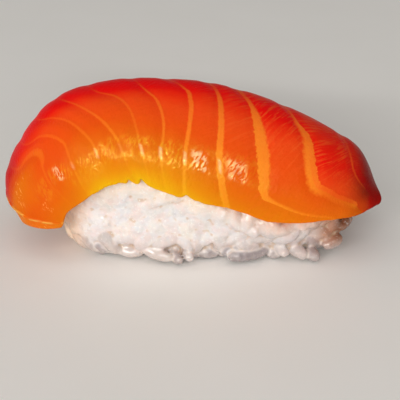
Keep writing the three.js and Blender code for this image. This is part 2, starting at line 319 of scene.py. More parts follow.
# Unevenness of the rice's surface: the seed, the size and the height of each layer of it.
LUMPS = [(21, 2.4, 0.165), (22, 1.2, 0.1155), (23, 0.8, 0.0495)]
CREVICE_ROUNDS = 12
HOLLOW_SHARES = (93, 99)  # the lowest 7 % of the mass are its hollows, and the lowest 1 % its holes
FOOT_FLATNESS = 0.93  # of the named grains: their thickness as a share of their width
GLASSY_HEIGHTS = (1.8, 5.5)  # the low grains are glassy, with grey bodies that are partly painted shade, and the high ones white
BODY_SHARES = (0.04, 0.42)  # from a grain's pale rim to its glassy body, as shares of its radius; the pale rim and the grey body are partly painted light
# Grains that stick out of the bale at its foot and at its right end: the middle of each, its
# length and width, the way it points, in degrees from +X and upwards, and how glassy it is.
FOOT_GRAINS = [
    {"at": (10.2, -10.5, 1.7), "size": (8.8, 2.6), "heading": 18, "rise": 1, "glassy": 1.0},
    {"at": (-7.4, -10.7, 1.9), "size": (6.8, 2.6), "heading": -24, "rise": -9, "glassy": 0.4},
    {"at": (-3.9, -11.0, 1.5), "size": (4.4, 2.1), "heading": -66, "rise": -14, "glassy": 0.8},
    {"at": (-1.4, -10.2, 2.2), "size": (5.0, 2.5), "heading": -84, "rise": -22, "glassy": 0.45},
    {"at": (2.6, -9.2, 1.3), "size": (4.8, 2.2), "heading": 6, "rise": 0, "glassy": 0.9},
    {"at": (-12.6, -9.2, 1.6), "size": (5.0, 2.3), "heading": -10, "rise": -2, "glassy": 0.3},
    {"at": (19.4, -9.6, 2.0), "size": (5.4, 2.7), "heading": -42, "rise": -12, "glassy": 0.6},
    {"at": (22.6, -10.3, 1.5), "size": (3.9, 2.6), "heading": -70, "rise": -8, "glassy": 0.9},
    {"at": (16.2, -9.6, 2.6), "size": (5.0, 2.4), "heading": -60, "rise": -20, "glassy": 0.4},
    {"at": (26.6, -8.0, 2.8), "size": (4.6, 2.5), "heading": 28, "rise": 16, "glassy": 0.8},
    {"at": (29.2, -5.6, 5.9), "size": (4.4, 2.3), "heading": 40, "rise": 24, "glassy": 0.9},
]


# ---- Curves and small helpers ----------------------------------------------------------------

def smoothstep(low, high, x):
    share = np.clip((x - low) / (high - low), 0, 1)
    return share * share * (3 - 2 * share)


def blend(a, b, share):
    return a + (b - a) * share


def bell(x, half_width):
    """1 at x = 0, falling off on both sides."""
    return np.exp(-((x / half_width) ** 2))


def masks(zones, measures):
    """A function from a zone's name to its mask: 1 inside the zone and 0 outside it."""
    def mask(name):
        return math.prod(smoothstep(low, high, measures[what]) for what, low, high in zones[name])
    return mask


def unit(vectors):
    return vectors / np.maximum(np.linalg.norm(vectors, axis=-1, keepdims=True), 1e-12)


def rail_through(points):
    """A centripetal Catmull-Rom curve through the points, as a function of its share 0 to 1."""
    points = np.array(points, float)
    spans = len(points) - 1
    led = np.vstack([2 * points[0] - points[1], points, 2 * points[-1] - points[-2]])

    def at(share):
        place = np.clip(np.asarray(share, float), 0, 1) * spans
        span = np.minimum(place.astype(int), spans - 1)
        w = (place - span)[..., None]
        p0, p1, p2, p3 = (led[span + k] for k in range(4))
        d0, d1, d2 = (
            (((a - b) ** 2).sum(-1) ** 0.25)[..., None] for a, b in ((p0, p1), (p1, p2), (p2, p3))
        )
        leave = ((p1 - p0) / d0 - (p2 - p0) / (d0 + d1) + (p2 - p1) / d1) * d1
        arrive = ((p2 - p1) / d1 - (p3 - p1) / (d1 + d2) + (p3 - p2) / d2) * d1
        square = -3 * p1 + 3 * p2 - 2 * leave - arrive
        cube = 2 * p1 - 2 * p2 + leave + arrive
        return p1 + leave * w + square * w**2 + cube * w**3

    return at


def waves(seed, size, count=7):
    """A smooth random field over points, from -1 to 1, with swells about `size` across."""
    random = np.random.default_rng(seed)
    ways = unit(random.normal(size=(count, 3)))
    lengths = size * random.uniform(0.7, 1.6, count)
    phases = random.uniform(0, 2 * math.pi, count)

    def at(points):
        turns = points @ (ways / lengths[:, None]).T * 2 * math.pi + phases
        return np.sin(turns).mean(-1) * math.sqrt(2)

    return at


# ---- The slice as a surface ------------------------------------------------------------------

crown_rail = rail_through(CROWN)
front_rail = rail_through(FRONT_HEM)
back_rail = rail_through(BACK_HEM)


def outer_face(u, q):
    """Points of the outer face. Across, it follows an arc of an ellipse: a full quarter where the
    slice hangs down the rice, and a flatter one at the pointed end."""
    u, q = np.broadcast_arrays(np.asarray(u, float), np.asarray(q, float))
    crown = crown_rail(u)
    hem = np.where((q < 0)[..., None], front_rail(u), back_rail(u))
    arc = np.radians(blend(90, POINT_ARC, smoothstep(FLAT_FROM, 1, u)))
    turn = np.abs(q) * arc
    reach = np.sin(turn) / np.sin(arc)
    fall = (1 - np.cos(turn)) / (1 - np.cos(arc))
    return crown + (hem - crown) * np.stack([fall, reach, fall], -1)


STEP = 1e-3


def lengthwise(u, q):
    return unit(outer_face(np.minimum(u + STEP, 1), q) - outer_face(np.maximum(u - STEP, 0), q))


def crosswise(u, q):
    return unit(outer_face(u, np.minimum(q + STEP, 1)) - outer_face(u, np.maximum(q - STEP, -1)))


def outward(u, q):
    return unit(np.cross(lengthwise(u, q), crosswise(u, q)))


def thickness(u, q):
    """The slice thins to its hems and to its two ends."""
    to_hem = np.abs(q) ** THINNING
    middle = blend(SLICE_THICK, HEM_THICK, to_hem)
    end = blend(END_THICK, HEM_THICK, to_hem)
    from_end = np.minimum(1, np.minimum(u, 1 - u) / END_SHARE)
    thick = blend(end, middle, np.sin(from_end * math.pi / 2))
    near_point = smoothstep(POINT_THIN_FROM["u"], 1, u) * smoothstep(POINT_THIN_FROM["q"], -1, q)
    return thick * (1 - POINT_THINNING * near_point)


def underside(u, q):
    return outer_face(u, q) - outward(u, q) * thickness(u, q)[..., None]


def corner(corners, q):
    return corners["share"] * np.abs(q) ** corners["sharpness"]


def station(share, q):
    """Where along the slice a lengthwise line at q is, its corners being rounded off."""
    return blend(corner(TONGUE_CORNERS, q), 1 - corner(POINT_CORNERS, q), share)


# ---- The sinews ------------------------------------------------------------------------------

def line_through(sinew, count=60):
    """A sinew as evenly numbered rows of u, q, width and paleness, smooth through its places."""
    return rail_through(sinew["places"])(np.linspace(0, 1, count))


def line_at(sinew, line, q):
    """The u of a sinew's line at each q."""
    if "ends" in sinew:
        line = np.vstack([line[:, :2], [sinew["ends"], -1.0]])
    order = np.argsort(line[:, 1])
    return np.interp(q, line[order, 1], line[order, 0])


def distance_to_line(points, line, values):
    """For each point, its distance to the nearest of the line's segments and the values there."""
    nearest = np.full(len(points), 1e9)
    found = np.zeros((len(points), values.shape[1]))
    for a, b, from_value, to_value in zip(line[:-1], line[1:], values[:-1], values[1:]):
        along = b - a
        share = np.clip((points - a) @ along / (along @ along), 0, 1)
        distance = np.linalg.norm(points - a - share[:, None] * along, axis=1)
        closer = distance < nearest
        nearest = np.where(closer, distance, nearest)
        found = np.where(closer[:, None], blend(from_value, to_value, share[:, None]), found)
    return nearest, found


def sinew_fields(u, q, points):
    """For each place: how far inside a sinew's edge it is in millimetres (less than 0 outside),
    that sinew's paleness, how soft and how ragged its edge is, and the distance to the nearest
    middle line."""
    flat = points.reshape(-1, 3)
    inside, apart = np.full(len(flat), -9.0), np.full(len(flat), 99.0)
    pale, soft, ragged = np.zeros((3, len(flat)))
    for sinew in SINEWS:
        line = line_through(sinew)
        run = outer_face(line[:, 0], line[:, 1])
        distance, (wide, paleness) = (found.T for found in distance_to_line(flat, run, line[:, 2:]))
        left_soft, right_soft = sinew["soft"]
        softness = np.where((u > line_at(sinew, line, q)).reshape(-1), right_soft, left_soft)
        depth = wide / 2 - distance
        nearer = depth > inside
        pale = np.where(nearer, paleness, pale)
        soft = np.where(nearer, softness, soft)
        ragged = np.where(nearer, np.minimum(1.3, 0.6 * wide), ragged)
        inside = np.maximum(inside, depth)
        apart = np.minimum(apart, distance)
        if "ends" in sinew:
            run = np.linspace(line[-1, :2], [sinew["ends"], -1.0], 12)
            distance, _ = distance_to_line(flat, outer_face(run[:, 0], run[:, 1]), run)
            apart = np.minimum(apart, distance)
    return {
        name: values.reshape(u.shape)
        for name, values in (
            ("inside", inside), ("pale", pale), ("soft", soft), ("ragged", ragged), ("apart", apart)
        )
    }


def muscle_fields(u, q):
    """For each place, which muscle it is in, its redness, and its two coordinates in millimetres
    along and across the fibres of that muscle."""
    number = np.zeros(u.shape)
    redder = np.full(u.shape, FIRST_MUSCLE["redder"])
    lean = np.full(u.shape, FIRST_MUSCLE["lean"], float)
    start = np.zeros(u.shape)
    for sinew in SINEWS:
        at_q = line_at(sinew, line_through(sinew), q)
        right = u > at_q
        number = np.where(right, number + 1, number)
        redder = np.where(right, sinew["redder"], redder)
        lean = np.where(right, sinew["lean"], lean)
        start = np.where(right, at_q, start)
    across = q * math.pi / 2 * (np.abs(BACK_HEM[4][1]) + 1)
    along = (u - start) * crown_length()
    slope = np.radians(lean)
    on_fibre = along * np.cos(slope) + across * np.sin(slope)
    off_fibre = across * np.cos(slope) - along * np.sin(slope)
    slope, along = math.radians(CRINKLE_LEAN), u * crown_length()
    return {
        "number": number,
        "redder": redder,
        "on_fibre": on_fibre,
        "off_fibre": off_fibre,
        "on_crinkle": along * math.cos(slope) + across * math.sin(slope),
        "off_crinkle": across * math.cos(slope) - along * math.sin(slope),
    }


def crown_length():
    return np.linalg.norm(np.diff(crown_rail(np.linspace(0, 1, 200)), axis=0), axis=1).sum()


# ---- The slice's mesh ------------------------------------------------------------------------

def ring_profile():
    """The rings from the tongue's cut edge to the point's: share of the length, swell outwards
    (negative at the tongue) and share of the thickness by which both faces are set in."""
    turns = np.radians(90) * np.arange(END_RINGS, 0, -1) / END_RINGS
    swell = CUT_BULGE * np.sin(turns) ** (2 / CUT_SQUARENESS)
    inset = (1 - np.cos(turns) ** (2 / CUT_SQUARENESS)) / 2
    share = np.concatenate([np.zeros(END_RINGS), np.linspace(0, 1, STATIONS + 1), np.ones(END_RINGS)])
    flat = np.zeros(STATIONS + 1)
    return (
        share,
        np.concatenate([-swell, flat, swell[::-1]]),
        np.concatenate([inset, flat, inset[::-1]]),
    )


def slice_parts():
    """Everything that the slice's mesh and its colours are made of, on the grid of rings by
    strips."""
    share, swell, inset = ring_profile()
    q = np.linspace(-1, 1, STRIPS + 1)[None, :] * np.ones((len(share), 1))
    u = station(share[:, None], q)
    plain = outer_face(u, q)
    out = outward(u, q)
    along = lengthwise(u, q)
    thick = thickness(u, q)
    fields = {"u": u, "q": q, **sinew_fields(u, q, plain), **muscle_fields(u, q)}

    ends = smoothstep(0, FADE_AT_ENDS, u) * smoothstep(1, 1 - FADE_AT_ENDS, u)
    away = np.maximum(0, -fields["inside"])
    muscle = MUSCLE_RISE * (smoothstep(0, MUSCLE_SHOULDER, away) - MUSCLE_SUNK)
    slow = SWELL * waves(3, 13)(plain) + 0.4 * SWELL * waves(4, 5)(plain)
    relief = (muscle + slow) * (1 - FADE_AT_HEMS * np.abs(q) ** 6) * ends

    from_cut = share[:, None] * crown_length() * np.ones_like(q)
    rim_wide = blend(RIM["wide"], RIM["wide_at_corners"], np.abs(q) ** RIM["narrowing"])
    past_rim = from_cut - rim_wide - RIM["waver"] * waves(15, 2.5)(plain)
    sunk = RIM["sunk"] * smoothstep(0, -RIM["sunk_over"], past_rim)
    relief = relief + RIM["ridge_high"] * (bell(past_rim, RIM["ridge_half"]) - sunk)
    fields["rim"] = smoothstep(*RIM["edge"], past_rim)
    fields["ridge"] = bell(past_rim, RIM["line_half"])

    aside = crosswise(u, q) * (np.sign(q) * hem_wander(u, q, plain))[..., None]
    moved = plain + along * swell[:, None, None] + aside
    top = moved + out * (relief - inset[:, None] * thick)[..., None]
    bottom = moved - out * (thick * (1 - inset[:, None]))[..., None]
    return top, bottom, inset, fields


def hem_wander(u, q, plain):
    """How far the hem is moved outwards across the slice, fading towards its middle."""
    thin = smoothstep(*NICKED_FROM, u) * (1 - 0.6 * smoothstep(*LESS_NICKED_FROM, u))
    slow = HEM_WAVE * (0.7 * waves(5, 11)(plain) + 0.5 * waves(6, 4.5)(plain))
    nicks = HEM_NICKS * thin * (0.6 * waves(11, 2.2)(plain) + 0.4 * waves(12, 1.2)(plain))
    notches = sum(
        depth * bell((u - at) * crown_length(), 0.6 * wide)
        for at, wide, depth in HEM_NOTCHES
    )
    return (slow + nicks - notches * (q < 0)) * np.abs(q) ** 14


def hem_edge(top, bottom, inner, inset):
    """The rounded cut edge between the last points of the two faces, from the outer face down."""
    turns = np.pi * np.arange(1, HEM_POINTS + 1) / (HEM_POINTS + 1)
    power = 2 / CUT_SQUARENESS
    level = np.sign(np.cos(turns)) * np.abs(np.cos(turns)) ** power
    middle, half = (top + bottom) / 2, (top - bottom) / 2
    bulge = CUT_BULGE * (1 - 2 * inset)[:, None] * np.sin(turns) ** power
    out = unit(top - inner)
    return middle[:, None] + half[:, None] * level[None, :, None] + out[:, None] * bulge[..., None]


def round_the_slice(values):
    """A field of the outer face, carried on round the hems and over the underside."""
    back = np.repeat(values[:, -1:], HEM_POINTS, 1)
    front = np.repeat(values[:, :1], HEM_POINTS, 1)
    return np.concatenate([values, back, values[:, ::-UNDER_EVERY], front], axis=1)


def slice_mesh():
    """The closed slice: points, faces and the fields at its points."""
    top, bottom, inset, fields = slice_parts()
    rings, strips = top.shape[0], STRIPS
    back = hem_edge(top[:, -1], bottom[:, -1], top[:, -2], inset)
    front = hem_edge(top[:, 0], bottom[:, 0], top[:, 1], inset)[:, ::-1]
    under = bottom[:, ::-UNDER_EVERY]
    loops = np.concatenate([top, back, under, front], axis=1)
    count = loops.shape[1]
    spread = {name: round_the_slice(values) for name, values in fields.items()}

    ids = np.arange(rings * count).reshape(rings, count)
    first_under = strips + 1 + HEM_POINTS
    last_under = first_under + under.shape[1] - 1
    for end in (0, -1):  # the last ring of each end is one line: its other points fall on its top
        ids[end, strips + 1 : first_under] = ids[end, strips]
        ids[end, first_under : last_under + 1] = ids[end, strips::-UNDER_EVERY]
        ids[end, last_under + 1 :] = ids[end, 0]
    faces = []
    for i in range(rings - 1):
        for j in range(count):
            k = (j + 1) % count
            here, there = [ids[i, j], ids[i, k]], [ids[i + 1, k], ids[i + 1, j]]
            if first_under <= j < last_under:
                start = strips - (j - first_under) * UNDER_EVERY
                run = list(range(start, start - UNDER_EVERY - 1, -1))
                if i == 0:
                    here = [ids[0, r] for r in run]
                if i == rings - 2:
                    there = [ids[-1, r] for r in reversed(run)]
            face = []
            for point in here + there:
                if not face or point != face[-1]:
                    face.append(int(point))
            if face[0] == face[-1]:
                face.pop()
            if len(face) > 2:
                faces.append(face[::-1])
    used = np.unique(np.concatenate([np.array(f) for f in faces]))
    renumber = np.zeros(ids.size, int)
    renumber[used] = np.arange(len(used))
    faces = [[int(renumber[p]) for p in face] for face in faces]
    points = loops.reshape(-1, 3)[used]
    return points, faces, {name: f.reshape(-1)[used] for name, f in spread.items()}


# ---- Where the slice's looks change -----------------------------------------------------------

# A zone has one or more edges: what it is measured by, from where the zone is 0 to where it is
# full. "u" runs along the slice, "across" from the crown to either hem, "front" from the crown to
# the front hem, and "apart" is the distance to the nearest sinew, in millimetres.
ZONES = {
    "tip": [("u", 0.16, 0.02)],
    "cheek": [("u", 0.36, 0.16), ("across", 0.24, 0.48), ("across", 0.82, 0.35)],
    "yellow hem": [("u", 0.25, 0.4), ("u", 0.645, 0.49)],
    "redder flank": [("u", 0.6, 0.75)],
    "red corners": [("u", 0.9, 0.96), ("across", 0.7, 0.9)],
    "orange crown": [("u", 0.7, 0.74)],
    "band lowered": [("u", 0.44, 0.37)],
    "band raised": [("u", 0.345, 0.3)],
    "wet": [("u", 0.14, 0.28)],
    "nearly dry": [("u", 0.655, 0.69)],
    "lively": [("u", 0.42, 0.52), ("u", 0.57, 0.55)],
    "off the sinews": [("apart", 0.35, 1.0)],
    "on the sinews": [("apart", 0.35, 0.15), ("u", 0.3, 0.4), ("u", 0.68, 0.64)],
    "left glare": [("u", 0.284, 0.292), ("u", 0.312, 0.304)],
    "middle glare": [("u", 0.562, 0.57), ("u", 0.592, 0.584)],
    "right glare": [("u", 0.612, 0.62), ("u", 0.646, 0.634)],
    "glaring": [("front", 0.62, 0.66), ("front", 0.79, 0.75)],
    "dashes": [
        ("apart", 0.3, 0.1), ("u", 0.3, 0.36), ("u", 0.63, 0.6), ("front", 0.65, 0.67),
        ("front", 0.76, 0.73),
    ],
    "bright dashes": [("u", 0.47, 0.5)],
    # Painted glints: golden flecks painted on the tongue and near the point.
    "tongue drops": [("u", 0.24, 0.18), ("front", 0.35, 0.45), ("front", 0.94, 0.86)],
    "far drops": [("u", 0.82, 0.88), ("u", 0.98, 0.92), ("front", 0.15, 0.35), ("front", 0.75, 0.5)],
    # Painted shade: the slice darkens towards its pointed end and at the tongue's left brow.
    "dusk": [("u", 0.74, 0.8)],
    "dark point": [("u", 0.8, 0.93)],
    "dark brow": [("u", 0.26, 0.14), ("across", 0.46, 0.2)],
    "lit hem": [("across", 0.75, 0.95), ("u", 0.97, 0.9)],
    "faint sinews": [("u", 0.55, 0.42)],
    "streaks": [("u", 0.54, 0.68)],
    "few streaks": [("across", 0.4, 0.75)],
    "whiter glints": [("u", 0.48, 0.58)],
}
GLARES = {"left glare": 1.0, "middle glare": 1.0, "right glare": 0.8}
WET_BAND = {"upper": (0.57, 0.63), "lower": (0.82, 0.75)}  # its edges, from the crown to the front
DULL_SINEW = {"at": 0.458, "half_width": 0.016}  # in u: it has no bright dash
CROWN_FADE = {"at": 0.03, "half_width": 0.09}  # in q: where the sinews are half as pale


def warmth_field(f, zone):
    """From the red crown (0) to the thin yellow hem (1). The hem's yellow is partly painted light, for
    light shining through the thin flesh.
    """
    across = np.abs(f["q"])
    warmth = across**0.96 * (0.76 + 0.24 * zone("yellow hem"))
    warmth = warmth + 0.42 * zone("cheek") + 0.02 * zone("tip")
    warmth = warmth - f["redder"] - 0.06 * zone("redder flank") * across
    warmth = warmth - 0.5 * zone("red corners")
    return np.clip(np.maximum(warmth, 0.14 * zone("orange crown")), 0, 1)


def wet_fields(f, zone):
    """The band that shines along the front: how moist it is, its brightest places, and the dashes
    of light on its sinews."""
    u, front = f["u"], -f["q"]
    low = zone("band lowered") * (1 - 0.75 * zone("band raised"))
    band = smoothstep(*WET_BAND["upper"], front - 0.1 * low)
    band = band * smoothstep(*WET_BAND["lower"], front - 0.12 * low)
    glare = sum(share * zone(name) for name, share in GLARES.items()) * zone("glaring")
    moist = band * zone("wet") * (1 - 0.95 * zone("nearly dry"))
    moist = moist * (0.5 + 0.5 * np.maximum(zone("lively"), glare))
    moist = moist * (0.15 + 0.85 * zone("off the sinews"))
    dash = band * zone("dashes") * (0.45 + 0.55 * zone("bright dashes"))
    return {
        "moist": moist + 0.9 * band * zone("on the sinews"),
        "glare": glare,
        "dash": dash * (1 - bell(u - DULL_SINEW["at"], DULL_SINEW["half_width"])),
        # where the painted glint flecks lie
        "dotted": zone("tongue drops") + 0.5 * zone("far drops"),
        "golden": 0.65 - 0.35 * zone("whiter glints"),
    }


def colour_fields(f):
    """What the slice's finish varies by, at each point."""
    measures = {"u": f["u"], "across": np.abs(f["q"]), "front": -f["q"], "apart": f["apart"]}
    zone = masks(ZONES, measures)
    # Painted shade: dark red towards the point and at the tongue's edge, with less of it on the lit hem.
    gloom = 0.15 * zone("dusk") + 0.85 * zone("dark point") + 0.45 * zone("dark brow")
    pale = f["pale"] * (1 - 0.28 * zone("faint sinews"))
    return {
        "warmth": warmth_field(f, zone),
        "gloom": gloom * (1 - 0.4 * zone("lit hem")),
        "sinew_depth": np.clip(f["inside"], -3, 3),
        "sinew_pale": pale * (1 - 0.5 * bell(f["q"] - CROWN_FADE["at"], CROWN_FADE["half_width"])),
        "sinew_soft": f["soft"],
        "sinew_ragged": f["ragged"],
        "rim": f["rim"],
        "ridge": f["ridge"],
        "muscle": f["number"],
        "fibre_on": f["on_fibre"],
        "fibre_off": f["off_fibre"],
        "crinkle_on": f["on_crinkle"],
        "crinkle_off": f["off_crinkle"],
        "streaky": zone("streaks") * (1 - 0.75 * zone("few streaks")),
        **wet_fields(f, zone),
    }


def to_object(name, points, faces, fields):
    """A smooth mesh object from points in millimetres, with a value at each point per field."""
    mesh = bpy.data.meshes.new(name)
    mesh.from_pydata((np.asarray(points) * MM).tolist(), [], faces)
    mesh.shade_smooth()
    for field, values in fields.items():
        attribute = mesh.attributes.new(field, "FLOAT", "POINT")
        attribute.data.foreach_set("value", np.asarray(values, np.float32))
    made = bpy.data.objects.new(name, mesh)
    bpy.context.scene.collection.objects.link(made)
    return made


# ---- The rice --------------------------------------------------------------------------------

class Bale:
    """The bale of rice as a rounded form, in the frame's place."""

    def __init__(self, shift):
        self.shift = shift
        line = underside(np.linspace(REST_FROM, 1, 81), np.zeros(81))
        self.line_x, self.line_z = line[:, 0], line[:, 2]
        share = np.linspace(0, 1, 61)
        self.front_hem, self.back_hem = front_rail(share), back_rail(share)

    def above(self, x):
        """How far the bale reaches above its belly at x."""
        return np.interp(x, self.line_x, self.line_z) + OVER_CUT - RICE_BELLY

    def half_width(self, x, y, z):
        """Half the bale's width, with the swelling below the hems."""
        bulge = np.zeros(np.shape(x))
        for hem, size, is_side in (
            (self.front_hem, FRONT_BULGE, y < 0), (self.back_hem, BACK_BULGE, y >= 0)
        ):
            widest = np.interp(x, hem[:, 0], hem[:, 2]) - BULGE_BELOW
            swelling = size * np.exp(-(((z - widest) / BULGE_REACH) ** 2))
            bulge = np.where(is_side, swelling, bulge)
        return RICE_HALF_WIDTH + bulge

    def size_at(self, points):
        """1 on the bale's skin, less inside and more outside."""
        x, y, z = (points - self.shift).T
        along = np.abs(x - RICE_MIDDLE) / (RICE_LENGTH / 2)
        side = np.abs(y) / self.half_width(x, y, z)
        up = z - RICE_BELLY
        high = np.abs(up) / np.where(up > 0, self.above(x), RICE_BELLY + RICE_KEEL)
        power = np.where(up > 0, UPPER_SQUARENESS, LOWER_SQUARENESS)
        section = (side**power + high**power) ** (1 / power)
        return (along**END_BLUNTNESS + section**END_BLUNTNESS) ** (1 / END_BLUNTNESS)

    def height_and_way(self, points):
        """The height of points above the skin, and the way out of it."""
        size = self.size_at(points)
        step = 0.05
        slope = np.stack(
            [(self.size_at(points + step * axis) - size) / step for axis in np.eye(3)], -1
        )
        steep = np.linalg.norm(slope, axis=1)
        return (size - 1) / steep, slope / steep[:, None]

    def point(self, along, turn, inset=0.0):
        """A skin point: along from -1 to 1, and turn round the section, both as arrays."""
        x = RICE_MIDDLE + (RICE_LENGTH / 2 - inset) * along
        taper = np.maximum(0, 1 - np.abs(along) ** END_BLUNTNESS) ** (1 / END_BLUNTNESS)
        side, up = np.sin(turn), np.cos(turn)
        power = 2 / np.where(up > 0, UPPER_SQUARENESS, LOWER_SQUARENESS)
        reach = np.where(up > 0, self.above(x), RICE_BELLY + RICE_KEEL) - inset
        z = RICE_BELLY + reach * taper * np.sign(up) * np.abs(up) ** power
        wide = (self.half_width(x, side, z) - inset) * taper
        y = wide * np.sign(side) * np.abs(side) ** power
        return np.stack([x, y, z], -1) + self.shift


def skin_samples(bale, random, count):
    """Points spread evenly over the bale's skin."""
    along = -np.cos(np.pi * np.linspace(0, 1, 121))
    turn = np.linspace(0, 2 * np.pi, 145)
    grid = bale.point(along[:, None] * np.ones(145), turn[None, :] * np.ones((121, 1)))
    a, b, c = grid[:-1, :-1], grid[1:, :-1], grid[:-1, 1:]
    area = np.linalg.norm(np.cross(b - a, c - a), axis=-1).reshape(-1)
    cells = random.choice(len(area), size=count, p=area / area.sum())
    one, two = random.random((2, count, 1))
    a, b, c = (corner_points.reshape(-1, 3)[cells] for corner_points in (a, b, c))
    return a + (b - a) * one + (c - a) * two


def hem_heights(points, shift):
    """The height of the nearer hem beside each point."""
    share = np.linspace(0, 1, 61)
    heights = np.zeros(len(points))
    for rail, is_side in ((front_rail, points[:, 1] < 0), (back_rail, points[:, 1] >= 0)):
        hem = rail(share) + shift
        chosen = points[is_side]
        away = np.linalg.norm(chosen[:, None, :2] - hem[None, :, :2], axis=-1)
        heights[is_side] = hem[away.argmin(1), 2]
    return heights


def mashed(points, shift):
    """How far the grains are pressed into one smooth mass: 1 in the middle and at the tongue's
    side, and 0 at the foot and towards the slice's pointed end."""
    x, y, z = (points - shift).T
    looser = LOOSER_RIGHT["share"] * smoothstep(LOOSER_RIGHT["from"], LOOSER_RIGHT["to"], x)
    return smoothstep(*MASHED_ABOVE, z) * (1 - looser)


def scatter_grains(bale, random):
    """Grain middles, their axes and the depth each wants, in layers, wherever the rice shows."""
    middles, axes, depths = [], [], []
    for layer in LAYERS:
        taken = np.zeros((0, 3))
        for place in skin_samples(bale, random, SKIN_SAMPLES):
            if len(taken) and np.linalg.norm(taken - place, axis=1).min() < layer["spacing"]:
                continue
            taken = np.vstack([taken, place])
        seen = (taken[:, 2] < hem_heights(taken, bale.shift) + TUCKED_IN) & (taken[:, 2] > 0)
        taken = taken[seen]
        _, out = bale.height_and_way(taken)
        heading = random.normal(size=taken.shape)
        is_standing = random.random(len(taken)) < STANDING
        levelled = np.where(is_standing, LEVELLED["standing"], LEVELLED["lying"])
        heading -= (heading * out).sum(1, keepdims=True) * out * levelled[:, None]
        depth = layer["deeper"] + blend(LOOSE_DEPTH, MASHED_DEPTH, mashed(taken, bale.shift))
        middles.append(taken - out * depth[:, None])
        axes.append(unit(heading))
        depths.append(depth + random.uniform(*DEPTH_PLAY, len(taken)))
    return np.concatenate(middles), np.concatenate(axes), np.concatenate(depths)


BEADS = np.array([-1, -1 / 3, 1 / 3, 1])  # where along a grain the balls lie that stand for it


def push_apart(beads, radius, movable, pairs):
    """How far each bead has to move so that no two grains press too far into each other."""
    push = np.zeros_like(beads)
    first, second = pairs
    gap = beads[first][:, :, None] - beads[second][:, None]
    distance = np.linalg.norm(gap, axis=-1)
    overlap = np.maximum(0, (radius[first] + radius[second])[:, None, None] * (1 - SQUASH) - distance)
    shove = gap / np.maximum(distance, 1e-6)[..., None] * overlap[..., None]
    share = movable[first] / np.maximum(movable[first] + movable[second], 1e-6)
    np.add.at(push, first, shove.sum(2) * share[:, None, None])
    np.add.at(push, second, -shove.sum(1) * (1 - share)[:, None, None])
    return push


def settle(bale, grains, cover):
    """Presses the grains into the bale's form: apart from each other, above the board, under the
    slice, and each at its own depth below the skin."""
    middles, axes, depths = grains["middle"], grains["axis"], grains["depth"]
    half = grains["length"] / 2 - grains["radius"]
    radius, movable = grains["radius"], grains["movable"]
    under, under_out, is_edge = cover
    for _ in range(SETTLE_ROUNDS):
        away = np.linalg.norm(middles[:, None] - middles[None], axis=-1)
        pairs = np.nonzero(np.triu(away < GRAIN["length"] + 1.5, 1))
        beads = middles[:, None] + axes[:, None] * (half[:, None] * BEADS)[..., None]
        push = push_apart(beads, radius, movable, pairs) * EASE["apart"]
        flat = (beads + push).reshape(-1, 3)
        thick = np.repeat(radius, len(BEADS))

        height, out = bale.height_and_way(flat)
        too_high = np.maximum(0, height - PROUD)
        flat -= out * too_high[:, None] * EASE["down"]
        nearest = np.concatenate([
            np.linalg.norm(block[:, None] - under[None], axis=-1).argmin(1)
            for block in np.array_split(flat, 8)
        ])
        lift = flat - under[nearest]
        room = -(lift * under_out[nearest]).sum(1)
        press = np.where(is_edge[nearest], 0, np.maximum(0, thick * 0.95 + SLICE_GAP - room))
        flat -= under_out[nearest] * np.minimum(press, 1.0)[:, None]
        apart = np.linalg.norm(lift, axis=1)
        shove = np.where(is_edge[nearest], np.maximum(0, thick * 0.9 - apart), 0)
        flat += lift / np.maximum(apart, 1e-6)[:, None] * shove[:, None]
        flat[:, 2] = np.maximum(flat[:, 2], thick * 0.97)

        moved = flat.reshape(beads.shape) - beads
        height, out = bale.height_and_way(middles)
        drift = moved.mean(1) - out * ((height + depths) * EASE["depth"])[:, None]
        turn = (moved * BEADS[None, :, None]).sum(1) / (BEADS**2).sum() / half[:, None]
        middles = middles + drift * movable[:, None]
        axes = unit(axes + turn * movable[:, None])
    return middles, axes


def grain_shapes(grains, random):
    """The points of every grain, and the faces of one. A grain is blunt, a little bent, thicker
    at one end, and has a shallow notch where its germ was."""
    along = -np.cos(np.pi * np.linspace(0, 1, GRAIN_RINGS + 2))
    turn = 2 * np.pi * np.arange(GRAIN_SIDES) / GRAIN_SIDES
    s = np.concatenate([[-1], np.repeat(along[1:-1], GRAIN_SIDES), [1]])
    t = np.concatenate([[0], np.tile(turn, GRAIN_RINGS), [0]])
    wide = np.maximum(0, 1 - np.abs(s) ** GRAIN_BLUNTNESS) ** (1 / GRAIN_BLUNTNESS)
    slow, fine = GRAIN["ripple"]
    points = []
    for i in range(len(grains["middle"])):
        taper, bend_out, bend_side, roll = random.uniform(-1, 1, 4)
        lump = random.uniform(0, 2 * np.pi, 3)
        skin = wide * (1 + GRAIN["taper"] * taper * s)
        skin = skin * (1 + slow * np.sin(2 * t + lump[0]) + fine * np.sin(3.1 * s + 2 * t + lump[1]))
        notch = np.exp(-((s - GRAIN["notch_at"]) ** 2) / 0.02 - (1 - np.cos(t - lump[2])) / 0.25)
        skin = skin * (1 - GRAIN["notch_deep"] * notch)
        x = skin * np.cos(t) * grains["width"][i] / 2 + GRAIN["bend"] * bend_side * s**2
        y = skin * np.sin(t) * grains["thick"][i] / 2 - GRAIN["arch"] * (1 + bend_out) * s**2
        z = s * grains["length"][i] / 2
        axis, out = grains["axis"][i], grains["out"][i]
        side = unit(np.cross(axis, out))
        flat = np.cross(side, axis)
        rolled = side * math.cos(0.5 * roll) + flat * math.sin(0.5 * roll)
        raised = flat * math.cos(0.5 * roll) - side * math.sin(0.5 * roll)
        shape = x[:, None] * rolled + y[:, None] * raised + z[:, None] * axis
        points.append(grains["middle"][i] + shape)
    return np.array(points), pebble_faces(GRAIN_RINGS, GRAIN_SIDES)


